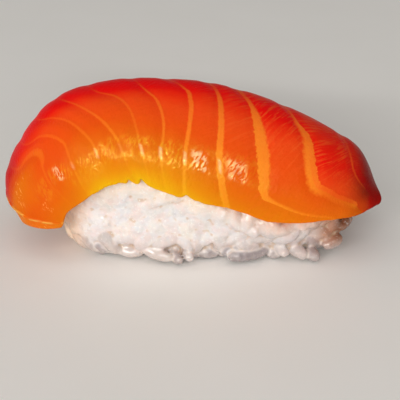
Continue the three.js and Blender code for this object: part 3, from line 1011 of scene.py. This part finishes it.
def pebble_faces(rings, sides):
    """The faces of a pebble: its first point, its rings of points, and its last point."""
    faces = []
    last = 1 + rings * sides
    for j in range(sides):
        k = (j + 1) % sides
        faces.append([0, 1 + k, 1 + j])
        faces.append([last - sides + j, last - sides + k, last])
        for ring in range(rings - 1):
            a, b = 1 + ring * sides + j, 1 + ring * sides + k
            faces.append([a, b, b + sides, a + sides])
    return faces


def heading_vector(grain):
    heading, rise = math.radians(grain["heading"]), math.radians(grain["rise"])
    return np.array([
        math.cos(heading) * math.cos(rise),
        math.sin(heading) * math.cos(rise),
        math.sin(rise),
    ])


def slice_cover(shift):
    """The slice's underside as the rice meets it: its points, the way out of the slice at each,
    and which of them are on its edges."""
    u, q = np.meshgrid(np.linspace(0, 1, 81), np.linspace(-1, 1, 33), indexing="ij")
    is_edge = (np.abs(q) > 0.99) | (u < 0.01) | (u > 0.99)
    points = (underside(station(u, q), q) + shift).reshape(-1, 3)
    return points, outward(station(u, q), q).reshape(-1, 3), is_edge.reshape(-1)


def lay_grains(bale, random):
    """All grains as they lie before they settle: the scattered ones, then the named ones."""
    middles, axes, depths = scatter_grains(bale, random)
    foot = np.array([grain["at"] for grain in FOOT_GRAINS]) + bale.shift
    along = np.array([heading_vector(grain) * (grain["size"][0] / 2 - 1) for grain in FOOT_GRAINS])
    row = foot[:, None] + along[:, None] * BEADS[:, None]
    to_row = np.linalg.norm(middles[:, None] - row.reshape(-1, 3)[None], axis=-1).min(1)
    clear = to_row > FOOT_CLEAR
    middles, axes, depths = middles[clear], axes[clear], depths[clear]
    scattered = len(middles)
    count = scattered + len(foot)
    grains = {
        "middle": np.vstack([middles, foot]),
        "axis": np.vstack([axes, [heading_vector(grain) for grain in FOOT_GRAINS]]),
        "depth": np.concatenate([depths, np.zeros(len(foot))]),
        "length": GRAIN["length"] * random.uniform(0.86, 1.12, count),
        "width": GRAIN["width"] * random.uniform(0.92, 1.08, count),
        "thick": GRAIN["thick"] * random.uniform(0.92, 1.06, count),
        "movable": np.concatenate([np.ones(scattered), np.zeros(len(foot))]),
    }
    grains["length"][scattered:] = [grain["size"][0] for grain in FOOT_GRAINS]
    grains["width"][scattered:] = [grain["size"][1] for grain in FOOT_GRAINS]
    grains["thick"][scattered:] = [FOOT_FLATNESS * grain["size"][1] for grain in FOOT_GRAINS]
    grains["radius"] = (grains["width"] + grains["thick"]) / 4
    return grains


def make_rice(shift):
    """The bale: its grains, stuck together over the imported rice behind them."""
    random = np.random.default_rng(GRAIN_SEED)
    bale = Bale(shift)
    grains = lay_grains(bale, random)
    cover = slice_cover(shift)
    grains["middle"], grains["axis"] = settle(bale, grains, cover)
    _, grains["out"] = bale.height_and_way(grains["middle"])
    shapes, faces = grain_shapes(grains, random)
    shapes[..., 2] = np.maximum(shapes[..., 2], 0.01)
    low = grains["middle"][: -len(FOOT_GRAINS), 2]
    glassy = np.concatenate([
        0.8 * (1 - smoothstep(*GLASSY_HEIGHTS, low)) + 0.14 * random.random(len(low)),
        [grain["glassy"] for grain in FOOT_GRAINS],
    ])
    tone = random.random(len(glassy))
    packed = with_core(shapes, faces, *packed_core(bale, cover))
    points, skin_faces, edges, crevice = fuse(*packed, shift)
    nearest, body = nearest_grains(points, grains)
    looks = np.stack([tone[nearest], glassy[nearest], smoothstep(*BODY_SHARES, body)], -1)
    for _ in range(2):
        looks = blend(looks, neighbour_mean(looks, edges), 0.5)
    hollow = smoothstep(*np.percentile(crevice, HOLLOW_SHARES), crevice)
    return to_object("rice_bale", points, skin_faces, rice_fields(points, looks, hollow, shift))


# The zones of the rice's look, as the slice's: "x" and "z" are places, and "below" is how far a
# point lies below the slice's hem, all in millimetres.
RICE_ZONES = {
    # Painted reflection of the slice's colour on the rice just below its hem.
    "near_fish": [("below", 5.5, -0.5)],
    # Painted reflection and painted shade: a deeper orange-tan below the hem, towards the point.
    "stained": [("below", 5.5, -0.5), ("x", 8.0, 20.0)],
    # Painted light: the rice's left end, shaded under the tongue, is painted bright peach.
    "tongue_end": [("x", -18.5, -24.5)],
    # Painted reflection and painted shade: tan at the rice's end under the pointed end.
    "point_end": [("x", 21.5, 27.0), ("z", 1.0, 5.0)],
    "shaded_end": [("x", 26.3, 29.0), ("z", 2.0, 5.0)],
    "foot": [("z", 6.5, 0.4)],
}


def rice_fields(points, looks, hollow, shift):
    """What the rice's finish varies by, at each point."""
    below = hem_heights(points, shift) - points[:, 2]
    zone = masks(RICE_ZONES, {"below": below, "x": points[:, 0], "z": points[:, 2]})
    return {
        "tone": looks[:, 0],
        "glassy": looks[:, 1],
        "body": looks[:, 2],
        "pressed": mashed(points, shift),
        "crevice": hollow,
        **{name: zone(name) for name in RICE_ZONES},
    }


def with_core(shapes, faces, core_points, core_faces):
    """All grains and the core as one list of points and one of faces."""
    count, points_each = shapes.shape[:2]
    starts = points_each * np.arange(count)
    joined = [[point + start for point in face] for start in starts.tolist() for face in faces]
    joined += [[point + count * points_each for point in face] for face in core_faces]
    return np.vstack([shapes.reshape(-1, 3), core_points]), joined


def nearest_grains(points, grains):
    """For each point, the number of the grain it is on, and how far it is from the seam with the
    next grain, as a share of a grain's radius."""
    reach = (grains["length"] / 2 - grains["radius"])[:, None] * grains["axis"]
    start, run = grains["middle"] - reach, 2 * reach
    numbers, bodies = [], []
    for block in np.array_split(points, 40):
        from_start = block[:, None] - start[None]
        share = np.clip((from_start * run).sum(-1) / (run**2).sum(-1), 0, 1)
        away = np.linalg.norm(from_start - share[..., None] * run, axis=-1) / grains["radius"]
        first, second = np.partition(away, 1, axis=1)[:, :2].T
        numbers.append(away.argmin(1))
        bodies.append(second - first)
    return np.concatenate(numbers), np.concatenate(bodies)


def neighbour_mean(values, edges):
    """The mean of the values at each point's neighbours along the edges."""
    total = np.zeros_like(values)
    for column in range(values.shape[1]):
        for here, there in (edges.T, edges.T[::-1]):
            total[:, column] += np.bincount(here, values[there, column], len(values))
    return total / np.bincount(edges.reshape(-1), minlength=len(values))[:, None]


def ways_out(points, quads):
    """The way out of the skin at each point."""
    a, b, c, d = (points[quads[:, k]] for k in range(4))
    face_out = np.cross(c - a, d - b)
    out = np.zeros_like(points)
    for k in range(4):
        for axis in range(3):
            out[:, axis] += np.bincount(quads[:, k], face_out[:, axis], len(points))
    return unit(out)


def largest_part(points, edges):
    """True for the points of the largest connected part."""
    label = np.arange(len(points))
    while True:
        low = np.minimum(label[edges[:, 0]], label[edges[:, 1]])
        before = label.copy()
        np.minimum.at(label, edges[:, 0], low)
        np.minimum.at(label, edges[:, 1], low)
        label = label[label]
        if (label == before).all():
            return label == np.bincount(label).argmax()


def fuse(points, faces, shift):
    """The grains and the core stuck together into one skin, softened as sticky rice is: its
    points, faces and edges, and how deep in a crevice each point was before the pressing."""
    made = to_object("loose_rice", points, faces, {})
    modifier = made.modifiers.new("stick", "REMESH")
    modifier.mode = "VOXEL"
    modifier.voxel_size = STICKING * MM
    shape = made.evaluated_get(bpy.context.evaluated_depsgraph_get())
    mesh = bpy.data.meshes.new_from_object(shape)
    bpy.data.objects.remove(made)
    points = np.zeros(len(mesh.vertices) * 3)
    mesh.vertices.foreach_get("co", points)
    points = points.reshape(-1, 3) / MM
    edges = np.zeros(len(mesh.edges) * 2, int)
    mesh.edges.foreach_get("vertices", edges)
    edges = edges.reshape(-1, 2)
    quads = np.array([list(face.vertices) for face in mesh.polygons])
    kept = largest_part(points, edges)
    renumber = np.cumsum(kept) - 1
    points, edges, quads = (
        points[kept], renumber[edges[kept[edges[:, 0]]]], renumber[quads[kept[quads[:, 0]]]]
    )
    pressed = mashed(points, shift)[:, None]
    for _ in range(SOFTENING):
        points = blend(points, neighbour_mean(points, edges), 0.5)
    for _ in range(MASHING):
        points = blend(points, neighbour_mean(points, edges), 0.5 * pressed)
    crevice = hollows(points, quads, edges)
    flat = points
    for _ in range(FLATTENING):
        flat = blend(flat, neighbour_mean(flat, edges), 0.9)
    points = blend(points, flat, blend(PRESSED[0], PRESSED[1], pressed))
    uneven = sum(high * waves(seed, size, 20)(points) for seed, size, high in LUMPS)
    points = points + uneven[:, None] * ways_out(points, quads)
    points[:, 2] = np.maximum(points[:, 2], 0)
    return points, quads.tolist(), edges, crevice


def hollows(points, quads, edges):
    """How far each point lies below its surroundings, in millimetres."""
    far = points
    for _ in range(CREVICE_ROUNDS):
        far = blend(far, neighbour_mean(far, edges), 0.9)
    return ((far - points) * ways_out(points, quads)).sum(1)


def packed_core(bale, cover):
    """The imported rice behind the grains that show: the bale's form, set in from its skin, as
    points and faces."""
    rings, sides = CORE_GRID
    along = -np.cos(np.pi * np.arange(rings + 2) / (rings + 1))
    turn = 2 * np.pi * np.arange(sides) / sides
    a, t = np.meshgrid(along[1:-1], turn, indexing="ij")
    skin = bale.point(a, t, CORE_DEPTH).reshape(-1, 3)
    tips = bale.point(along[[0, -1]], np.zeros(2), CORE_DEPTH)
    points = np.vstack([tips[:1], skin, tips[1:]])
    under, under_out, is_edge = cover
    uneven = CORE_UNEVEN * waves(9, 3.2)(points)
    points = points + uneven[:, None] * unit(points - points.mean(0))
    nearest = np.linalg.norm(points[:, None] - under[None], axis=-1).argmin(1)
    room = -((points - under[nearest]) * under_out[nearest]).sum(1)
    press = np.where(is_edge[nearest] & (room > -3), 0, np.maximum(0, 0.5 - room))
    points = points - under_out[nearest] * press[:, None]
    points[:, 2] = np.maximum(points[:, 2], CORE_LOWEST)
    return points, [face[:1] + face[:0:-1] for face in pebble_faces(rings, sides)]


# ---- Shader expressions ----------------------------------------------------------------------

def srgb(red, green, blue):
    """A colour given as 0 to 255 on screen, as the linear colour that shaders take."""
    def linear(value):
        value = value / 255
        return value / 12.92 if value <= 0.04045 else ((value + 0.055) / 1.055) ** 2.4
    return (linear(red), linear(green), linear(blue), 1.0)


class Wire:
    """One output of a shader node. Sums and products of wires and numbers add Math nodes."""

    def __init__(self, finish, socket):
        self.finish, self.socket = finish, socket

    def math(self, operation, *values):
        return self.finish.node("ShaderNodeMath", {"operation": operation}, values)

    def __add__(self, other):
        return self.math("ADD", self, other)

    __radd__ = __add__

    def __sub__(self, other):
        return self.math("SUBTRACT", self, other)

    def __rsub__(self, other):
        return self.math("SUBTRACT", other, self)

    def __mul__(self, other):
        return self.math("MULTIPLY", self, other)

    __rmul__ = __mul__

    def __truediv__(self, other):
        return self.math("DIVIDE", self, other)

    def larger(self, other):
        return self.math("MAXIMUM", self, other)

    def between(self, low, high):
        """0 below low, 1 above high, and smooth in between."""
        settings = {"interpolation_type": "SMOOTHSTEP"}
        values = {"Value": self, "From Min": low, "From Max": high, "To Min": 0.0, "To Max": 1.0}
        return self.finish.node("ShaderNodeMapRange", settings, values)


class Finish:
    """A material under construction."""

    def __init__(self, name):
        self.material = bpy.data.materials.new(name)
        self.material.use_nodes = True
        self.tree = self.material.node_tree
        self.shader = self.tree.nodes["Principled BSDF"]

    def put(self, socket, value):
        if isinstance(value, Wire):
            self.tree.links.new(value.socket, socket)
        else:
            socket.default_value = value

    def node(self, kind, settings, values=(), output=0):
        """Adds a node: its settings first, then its sockets' values or wires."""
        made = self.tree.nodes.new(kind)
        for name, value in settings.items():
            if name == "stops":
                set_stops(made.color_ramp, value)
            else:
                setattr(made, name, value)
        pairs = values.items() if isinstance(values, dict) else enumerate(values)
        for name, value in pairs:
            self.put(made.inputs[name], value)
        return Wire(self, made.outputs[output])

    def field(self, name):
        """A value that the mesh holds at its points."""
        return self.node("ShaderNodeAttribute", {"attribute_name": name}, (), "Fac")

    def place(self, x, y, z):
        return self.node("ShaderNodeCombineXYZ", {}, (x, y, z))

    def noise(self, name, place):
        """One of the NOISES, cut to its levels if it has any."""
        scale, detail, roughness, *levels = NOISES[name]
        values = {"Vector": place, "Scale": scale, "Detail": detail, "Roughness": roughness}
        made = self.node("ShaderNodeTexNoise", {"noise_dimensions": "3D"}, values)
        return made.between(*levels) if levels else made

    def mix(self, share, first, second):
        """A colour between two colours."""
        settings = {"data_type": "RGBA", "blend_type": "MIX"}
        return self.node("ShaderNodeMix", settings, {0: share, 6: first, 7: second}, 2)

    def layered(self, colour, layers):
        """A colour with others laid over it, each by its share."""
        for share, layer in layers:
            colour = self.mix(share, colour, layer)
        return colour

    def ramp(self, value, stops):
        return self.node("ShaderNodeValToRGB", {"stops": stops}, (value,))

    def bump(self, height, distance):
        return self.node("ShaderNodeBump", {}, {"Height": height, "Distance": distance})

    def set(self, values):
        """Sets the shader's own sockets."""
        for name, value in values.items():
            self.put(self.shader.inputs[name], value)

    def set_both(self, share, values, first, second):
        """Two shaders with the same values but for their own, mixed by a share."""
        self.set(values | first)
        shown = Wire(self, self.shader.outputs[0])
        other = self.node("ShaderNodeBsdfPrincipled", {}, values | second)
        mixed = self.node("ShaderNodeMixShader", {}, (share, shown, other))
        self.put(self.tree.nodes["Material Output"].inputs["Surface"], mixed)


def set_stops(ramp, stops):
    for _ in range(len(stops) - len(ramp.elements)):
        ramp.elements.new(1.0)
    for element, (position, colour) in zip(ramp.elements, stops):
        element.position = position
        element.color = colour


# ---- Finishes --------------------------------------------------------------------------------

# Every noise: its scale, detail and roughness, and the two levels between which its pattern turns
# from 0 to 1. The scale is per metre, or per millimetre along fibres and crinkles.
NOISES = {
    "cloud": (90.0, 3.0, 0.5),
    "muscle tone": (1.0, 0.0, 0.5),
    "fibres": (2.9, 3.0, 0.6, 0.46, 0.62),
    "fibre patches": (1.0, 1.0, 0.5, 0.3, 0.65),
    # the painted glint flecks and their patches
    "painted_glints": (2.2, 1.0, 0.5, 0.6, 0.68),
    "painted glint patches": (230.0, 1.0, 0.5, 0.5, 0.58),
    "ridge line": (420.0, 1.0, 0.5, 0.42, 0.56),
    "ragged edge": (1.5, 3.0, 0.6),
    "crinkles": (2.6, 2.0, 0.6),
    "dimples": (2300.0, 1.0, 0.5),
    "flecks": (3.6, 1.0, 0.5, 0.42, 0.54),
    "fleck patches": (260.0, 2.0, 0.5, 0.34, 0.52),
    "grain cloud": (700.0, 3.0, 0.55),
    "blush": (420.0, 3.0, 0.5, 0.44, 0.66),
    # the painted glint specks on the rice
    "glint specks": (2400.0, 1.0, 0.5, 0.62, 0.7),
    "dents": (1300.0, 3.0, 0.6),
    "mashed sparkle": (650.0, 2.0, 0.5, 0.52, 0.6),
    "loose sparkle": (800.0, 1.0, 0.5, 0.34, 0.46),
    "mottle": (40.0, 2.0, 0.5),
}
# How much slower a noise changes along the fibres or crinkles than across them.
STRETCHES = {"fibres": 0.07, "fibre patches": 0.3, "painted_glints": 0.5, "crinkles": 0.4, "flecks": 0.28}

# From the red crown to the yellow hem; the hem's yellow is partly painted light, for light shining
# through the thin flesh.
SALMON_STOPS = [
    (0.0, srgb(246, 0, 10)),
    (0.14, srgb(243, 17, 12)),
    (0.3, srgb(240, 74, 22)),
    (0.5, srgb(230, 84, 12)),
    (0.7, srgb(227, 114, 10)),
    (0.86, srgb(231, 143, 12)),
    (1.0, srgb(238, 180, 16)),
]
SINEW_STOPS = [
    (0.0, srgb(254, 112, 34)),
    (0.4, srgb(252, 136, 38)),
    (0.75, srgb(250, 162, 38)),
    (1.0, srgb(250, 196, 32)),
]
FIBRE_COLOUR = srgb(244, 104, 40)
# The colour of the painted shade at the point and at the tongue's edge.
PAINTED_SHADE_COLOUR = srgb(112, 14, 12)
RIM_COLOUR = srgb(252, 150, 36)
# The colour of the painted highlight line along the tongue's ridge.
RIDGE_HIGHLIGHT_COLOUR = srgb(255, 200, 96)
# The colour of the painted glint flecks on the tongue and near the point.
PAINTED_GLINT_COLOUR = srgb(255, 178, 88)
# Colours of the painted sheen and painted glare in the flesh's base colour.
SHEEN_COLOUR = srgb(250, 168, 24)
GLARE_COLOUR = srgb(255, 228, 190)
GLINT_TINT = (1.0, 0.82, 0.16, 1.0)  # fat on the flesh gives its glints a golden cast
FLESH_RELIEF = 0.15 * MM  # of its crinkles and dimples
FLESH = {
    "Subsurface Weight": 0.3,
    "Subsurface Radius": (1.0, 0.32, 0.1),
    "Subsurface Scale": 2.5 * MM,
}
PLAIN_FLESH = {"Roughness": 0.34, "IOR": 1.12, "Specular IOR Level": 0.5}
WET_FLESH = {
    "Roughness": 0.13,
    "IOR": 1.6,
    "Specular IOR Level": 1.0,
    "Specular Tint": GLINT_TINT,
}


def fibre_streaks(f):
    """Pale streaks along the fibres of each muscle, in patches."""
    muscle, on, off = f.field("muscle"), f.field("fibre_on"), f.field("fibre_off")
    streaks = f.noise("fibres", f.place(on * STRETCHES["fibres"], off, muscle * 7.3))
    spread = f.place(on * STRETCHES["fibre patches"], off * 0.4, muscle * 4.1)
    return streaks * f.field("streaky") * (0.35 + 0.65 * f.noise("fibre patches", spread))


def sinew_line(f):
    """1 on the sinews, with soft and ragged edges."""
    place = f.place(f.field("fibre_on"), f.field("fibre_off"), f.field("muscle"))
    ragged = (f.noise("ragged edge", place) - 0.5) * f.field("sinew_ragged")
    return ((f.field("sinew_depth") + ragged) / f.field("sinew_soft")).between(-1.0, 1.0)


def crinkled(f, name, layer):
    """A noise drawn out along the crinkles. Noises at other layers are independent of it."""
    on = f.field("crinkle_on") * STRETCHES[name]
    return f.noise(name, f.place(on, f.field("crinkle_off"), layer))


def salmon_finish():
    f = Finish("salmon_flesh")
    spot = f.node("ShaderNodeTexCoord", {}, (), "Object")
    tone = f.noise("muscle tone", f.place(f.field("muscle") * 5.7, 0.3, 0.7)) - 0.5
    warmth = f.field("warmth") + (f.noise("cloud", spot) - 0.5) * 0.16 + tone * 0.1

    # Painted glints: golden flecks in the base colour on the tongue and near the point.
    painted_glints = crinkled(f, "painted_glints", 8.5) * f.noise("painted glint patches", spot) * f.field("dotted")
    ridge = f.noise("ridge line", spot) * f.field("ridge")
    glare, dash = f.field("glare"), f.field("dash")
    wet_patches = f.noise("fleck patches", spot).larger(glare * 0.8)
    sheen = crinkled(f, "flecks", 3.5) * f.field("moist") * wet_patches
    flesh = f.layered(f.ramp(warmth, SALMON_STOPS), [
        (fibre_streaks(f) * 0.5, FIBRE_COLOUR),
        # painted shade towards the point and at the tongue's edge
        (f.field("gloom") * 0.85, PAINTED_SHADE_COLOUR),
        (f.field("rim") * 0.3, RIM_COLOUR),
        (painted_glints * 0.6, PAINTED_GLINT_COLOUR),
        # painted highlight line on the ridge
        (ridge * 0.6, RIDGE_HIGHLIGHT_COLOUR),
        (sinew_line(f) * f.field("sinew_pale"), f.ramp(warmth, SINEW_STOPS)),
        # Painted sheen and painted highlights: golden flecks and white glare in the base colour, beside
        # the wet shader's real glints.
        (sheen * f.field("golden"), SHEEN_COLOUR),
        ((sheen * glare * 0.6).larger(dash * 0.5), GLARE_COLOUR),
    ])
    relief = crinkled(f, "crinkles", 0.5) * 0.8 + f.noise("dimples", spot) * 0.2
    values = {"Base Color": flesh, "Normal": f.bump(relief, FLESH_RELIEF), **FLESH}
    f.set_both(sheen.larger(ridge).larger(dash * 0.8), values, PLAIN_FLESH, WET_FLESH)
    return f.material


RICE_WHITE = srgb(241, 239, 240)
RICE_CREAM = srgb(243, 232, 219)
RICE_BLUSH = srgb(249, 226, 220)
# The colour of the painted glints: small white specks on the rice.
RICE_GLINT_SPECK = srgb(255, 253, 250)
RICE_LILAC = srgb(218, 198, 194)
# Grey of the glassy grains' bodies: partly their own translucency, partly painted shade seen through
# them.
RICE_GLASSY_SHADE = srgb(126, 120, 132)
# Painted light: the slice's peach reflected on the rice near its hem, and a brighter peach at the shaded
# left end.
RICE_PAINTED_PEACH_LIGHT = srgb(255, 226, 200)
RICE_SHADE = srgb(214, 184, 150)
# The colour of the slice's painted reflection and shade on the rice below its hem.
RICE_FISH_REFLECTION_SHADE = srgb(234, 172, 138)
# The dark brown of the painted shade at the rice's far right end.
RICE_DEEP_SHADE = srgb(120, 76, 50)
# The colour of the painted reflection and shade at the rice's right end.
RICE_POINT_REFLECTION_SHADE = srgb(190, 128, 90)
RICE_RELIEF = 0.2 * MM  # of the dents in mashed grains
RICE = {
    "Subsurface Weight": 0.65,
    "Subsurface Radius": (1.0, 0.85, 0.7),
    "Subsurface Scale": 1.6 * MM,
}
PLAIN_RICE = {"Roughness": 0.4, "IOR": 1.35, "Specular IOR Level": 0.4}
SHINY_RICE = {"Roughness": 0.15, "IOR": 1.7, "Specular IOR Level": 1.0}


def rice_finish():
    f = Finish("rice_grain")
    spot = f.node("ShaderNodeTexCoord", {}, (), "Object")
    loose = 1 - f.field("pressed")
    clear = f.field("glassy").larger(0.42 * loose)
    body = clear * f.field("body") * (0.55 + f.noise("grain cloud", spot) * 0.6)
    colour = f.layered(RICE_WHITE, [
        (f.field("tone") * 0.6, RICE_CREAM),
        (f.noise("blush", spot) * 0.5, RICE_BLUSH),
        # partly painted light: the glassy grains' grey bodies and pale rims
        (body, RICE_GLASSY_SHADE),
        (loose * 0.4 * (1 - clear * 0.8), RICE_LILAC),
        # painted reflection of the slice, and painted light at the left end
        (f.field("near_fish") * 0.4, RICE_PAINTED_PEACH_LIGHT),
        (f.field("tongue_end") * 0.9, RICE_PAINTED_PEACH_LIGHT),
        # painted reflection and shade at the right end
        (f.field("point_end") * 0.9, RICE_POINT_REFLECTION_SHADE),
        # painted reflection and shade below the hem
        (f.field("stained") * 0.5, RICE_FISH_REFLECTION_SHADE),
        # painted shade at the far right end
        (f.field("shaded_end") * 0.75, RICE_DEEP_SHADE),
        (f.field("foot") * 0.15, RICE_SHADE),
        (f.field("crevice") * 0.6, RICE_SHADE),
        # painted glints: small white specks, fewer on the loose grains
        (f.noise("glint specks", spot) * (0.6 - 0.45 * loose), RICE_GLINT_SPECK),
    ])
    relief = f.noise("dents", spot) * (1.0 - 0.85 * loose)
    sparkle = (f.noise("mashed sparkle", spot) * 0.5).larger(loose * f.noise("loose sparkle", spot))
    values = {"Base Color": colour, "Normal": f.bump(relief, RICE_RELIEF), **RICE}
    f.set_both(sparkle, values, PLAIN_RICE, SHINY_RICE)
    return f.material


def board_finish():
    f = Finish("pale_board")
    spot = f.node("ShaderNodeTexCoord", {}, (), "Object")
    colour = f.mix(f.noise("mottle", spot), srgb(244, 243, 240), srgb(248, 247, 245))
    f.set({"Base Color": colour, "Roughness": 0.65})
    return f.material


# ---- Board, lights and camera ----------------------------------------------------------------

CAMERA_DISTANCE = 250.0
CAMERA_RISE = 28  # degrees above the board
PICTURE = {"width": 400, "middle": (200, 200), "origin": (191.5, 236.4), "pixels_per_mm": 4.97}
SENSOR = 36.0
BOARD_HALF = 1500
LIT_HEIGHT = 12  # what the lights are aimed at, above the middle of the board
LIGHTS = [
    # name, degrees round from the front and up, distance, width and height in metres, watts, colour
    ("front_strip", -16, 22, 1.4, (1.6, 0.06), 12.0, (1.0, 0.98, 0.95)),
    ("left_strip", -62, 16, 1.4, (0.4, 0.05), 0.9, (1.0, 0.97, 0.94)),
    ("high_box", -12, 60, 1.8, (3.0, 2.4), 15.0, (1.0, 0.98, 0.96)),
]
ROOM_LIGHT = {"colour": (1.0, 0.95, 0.88, 1.0), "strength": 0.2}


def make_board():
    half = BOARD_HALF * MM
    corners = [(-half, -half, 0), (half, -half, 0), (half, half, 0), (-half, half, 0)]
    mesh = bpy.data.meshes.new("board")
    mesh.from_pydata(corners, [], [[0, 1, 2, 3]])
    board = bpy.data.objects.new("board", mesh)
    bpy.context.scene.collection.objects.link(board)
    board.data.materials.append(board_finish())


def point_at(made, target):
    made.rotation_euler = (Vector(target) - made.location).to_track_quat("-Z", "Y").to_euler()


def make_camera():
    """The camera stands CAMERA_DISTANCE from the origin and is aimed so that the origin falls on
    its own pixel of the picture."""
    rise = math.radians(CAMERA_RISE)
    right = Vector((1, 0, 0))
    up = Vector((0, math.sin(rise), math.cos(rise)))
    scale = PICTURE["pixels_per_mm"]
    (middle_x, middle_y), (origin_x, origin_y) = PICTURE["middle"], PICTURE["origin"]
    aim = (right * (middle_x - origin_x) + up * (origin_y - middle_y)) / scale
    camera = bpy.data.objects.new("camera", bpy.data.cameras.new("camera"))
    bpy.context.scene.collection.objects.link(camera)
    camera.location = Vector((0, -math.cos(rise), math.sin(rise))) * CAMERA_DISTANCE * MM
    point_at(camera, aim * MM)
    camera.data.sensor_width = SENSOR
    camera.data.lens = scale * CAMERA_DISTANCE / PICTURE["width"] * SENSOR
    camera.data.clip_start = 0.01
    bpy.context.scene.camera = camera


def make_light(name, turn, rise, distance, size, power, colour):
    """A soft box of size (width, height), in metres and watts, turn degrees round from the front
    towards +X and rise degrees up."""
    light = bpy.data.lights.new(name, "AREA")
    light.shape = "RECTANGLE"
    light.size, light.size_y = size
    light.energy = power
    light.color = colour
    made = bpy.data.objects.new(name, light)
    bpy.context.scene.collection.objects.link(made)
    turn, rise = math.radians(turn), math.radians(rise)
    way = Vector((math.sin(turn) * math.cos(rise), -math.cos(turn) * math.cos(rise), math.sin(rise)))
    made.location = way * distance
    point_at(made, (0, 0, LIT_HEIGHT * MM))
    made.visible_camera = False


def make_lighting():
    for light in LIGHTS:
        make_light(*light)
    world = bpy.data.worlds.new("studio")
    world.use_nodes = True
    background = world.node_tree.nodes["Background"]
    background.inputs["Color"].default_value = ROOM_LIGHT["colour"]
    background.inputs["Strength"].default_value = ROOM_LIGHT["strength"]
    bpy.context.scene.world = world
    bpy.context.scene.view_settings.view_transform = "Standard"


# ---- The whole -------------------------------------------------------------------------------

def centre_shift():
    """What moves the slice, as its rails draw it, to where the frame has it."""
    share, swell, _ = ring_profile()
    q = np.linspace(-1, 1, STRIPS + 1)[None, :] * np.ones((len(share), 1))
    u = station(share[:, None], q)
    face = outer_face(u, q) + lengthwise(u, q) * swell[:, None, None]
    bulge = crosswise(u, q) * CUT_BULGE
    front, back = face[:, 0] - bulge[:, 0], face[:, -1] + bulge[:, -1]
    reach = np.concatenate([front, back, face.reshape(-1, 3)])
    low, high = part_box("salmon")
    wanted = (np.array(low) + np.array(high)) / 2 / MM
    shift = wanted - (reach.min(0) + reach.max(0)) / 2
    shift[2] = 0
    return shift


def main():
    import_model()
    shift = centre_shift()

    make_camera()
    make_board()
    make_lighting()

    points, faces, fields = slice_mesh()
    salmon = to_object("salmon_slice", points + shift, faces, colour_fields(fields))
    salmon.data.materials.append(salmon_finish())
    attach(salmon, "root")
    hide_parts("salmon")

    rice = make_rice(shift)
    rice.data.materials.append(rice_finish())
    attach(rice, "root")
    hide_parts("rice")


main()
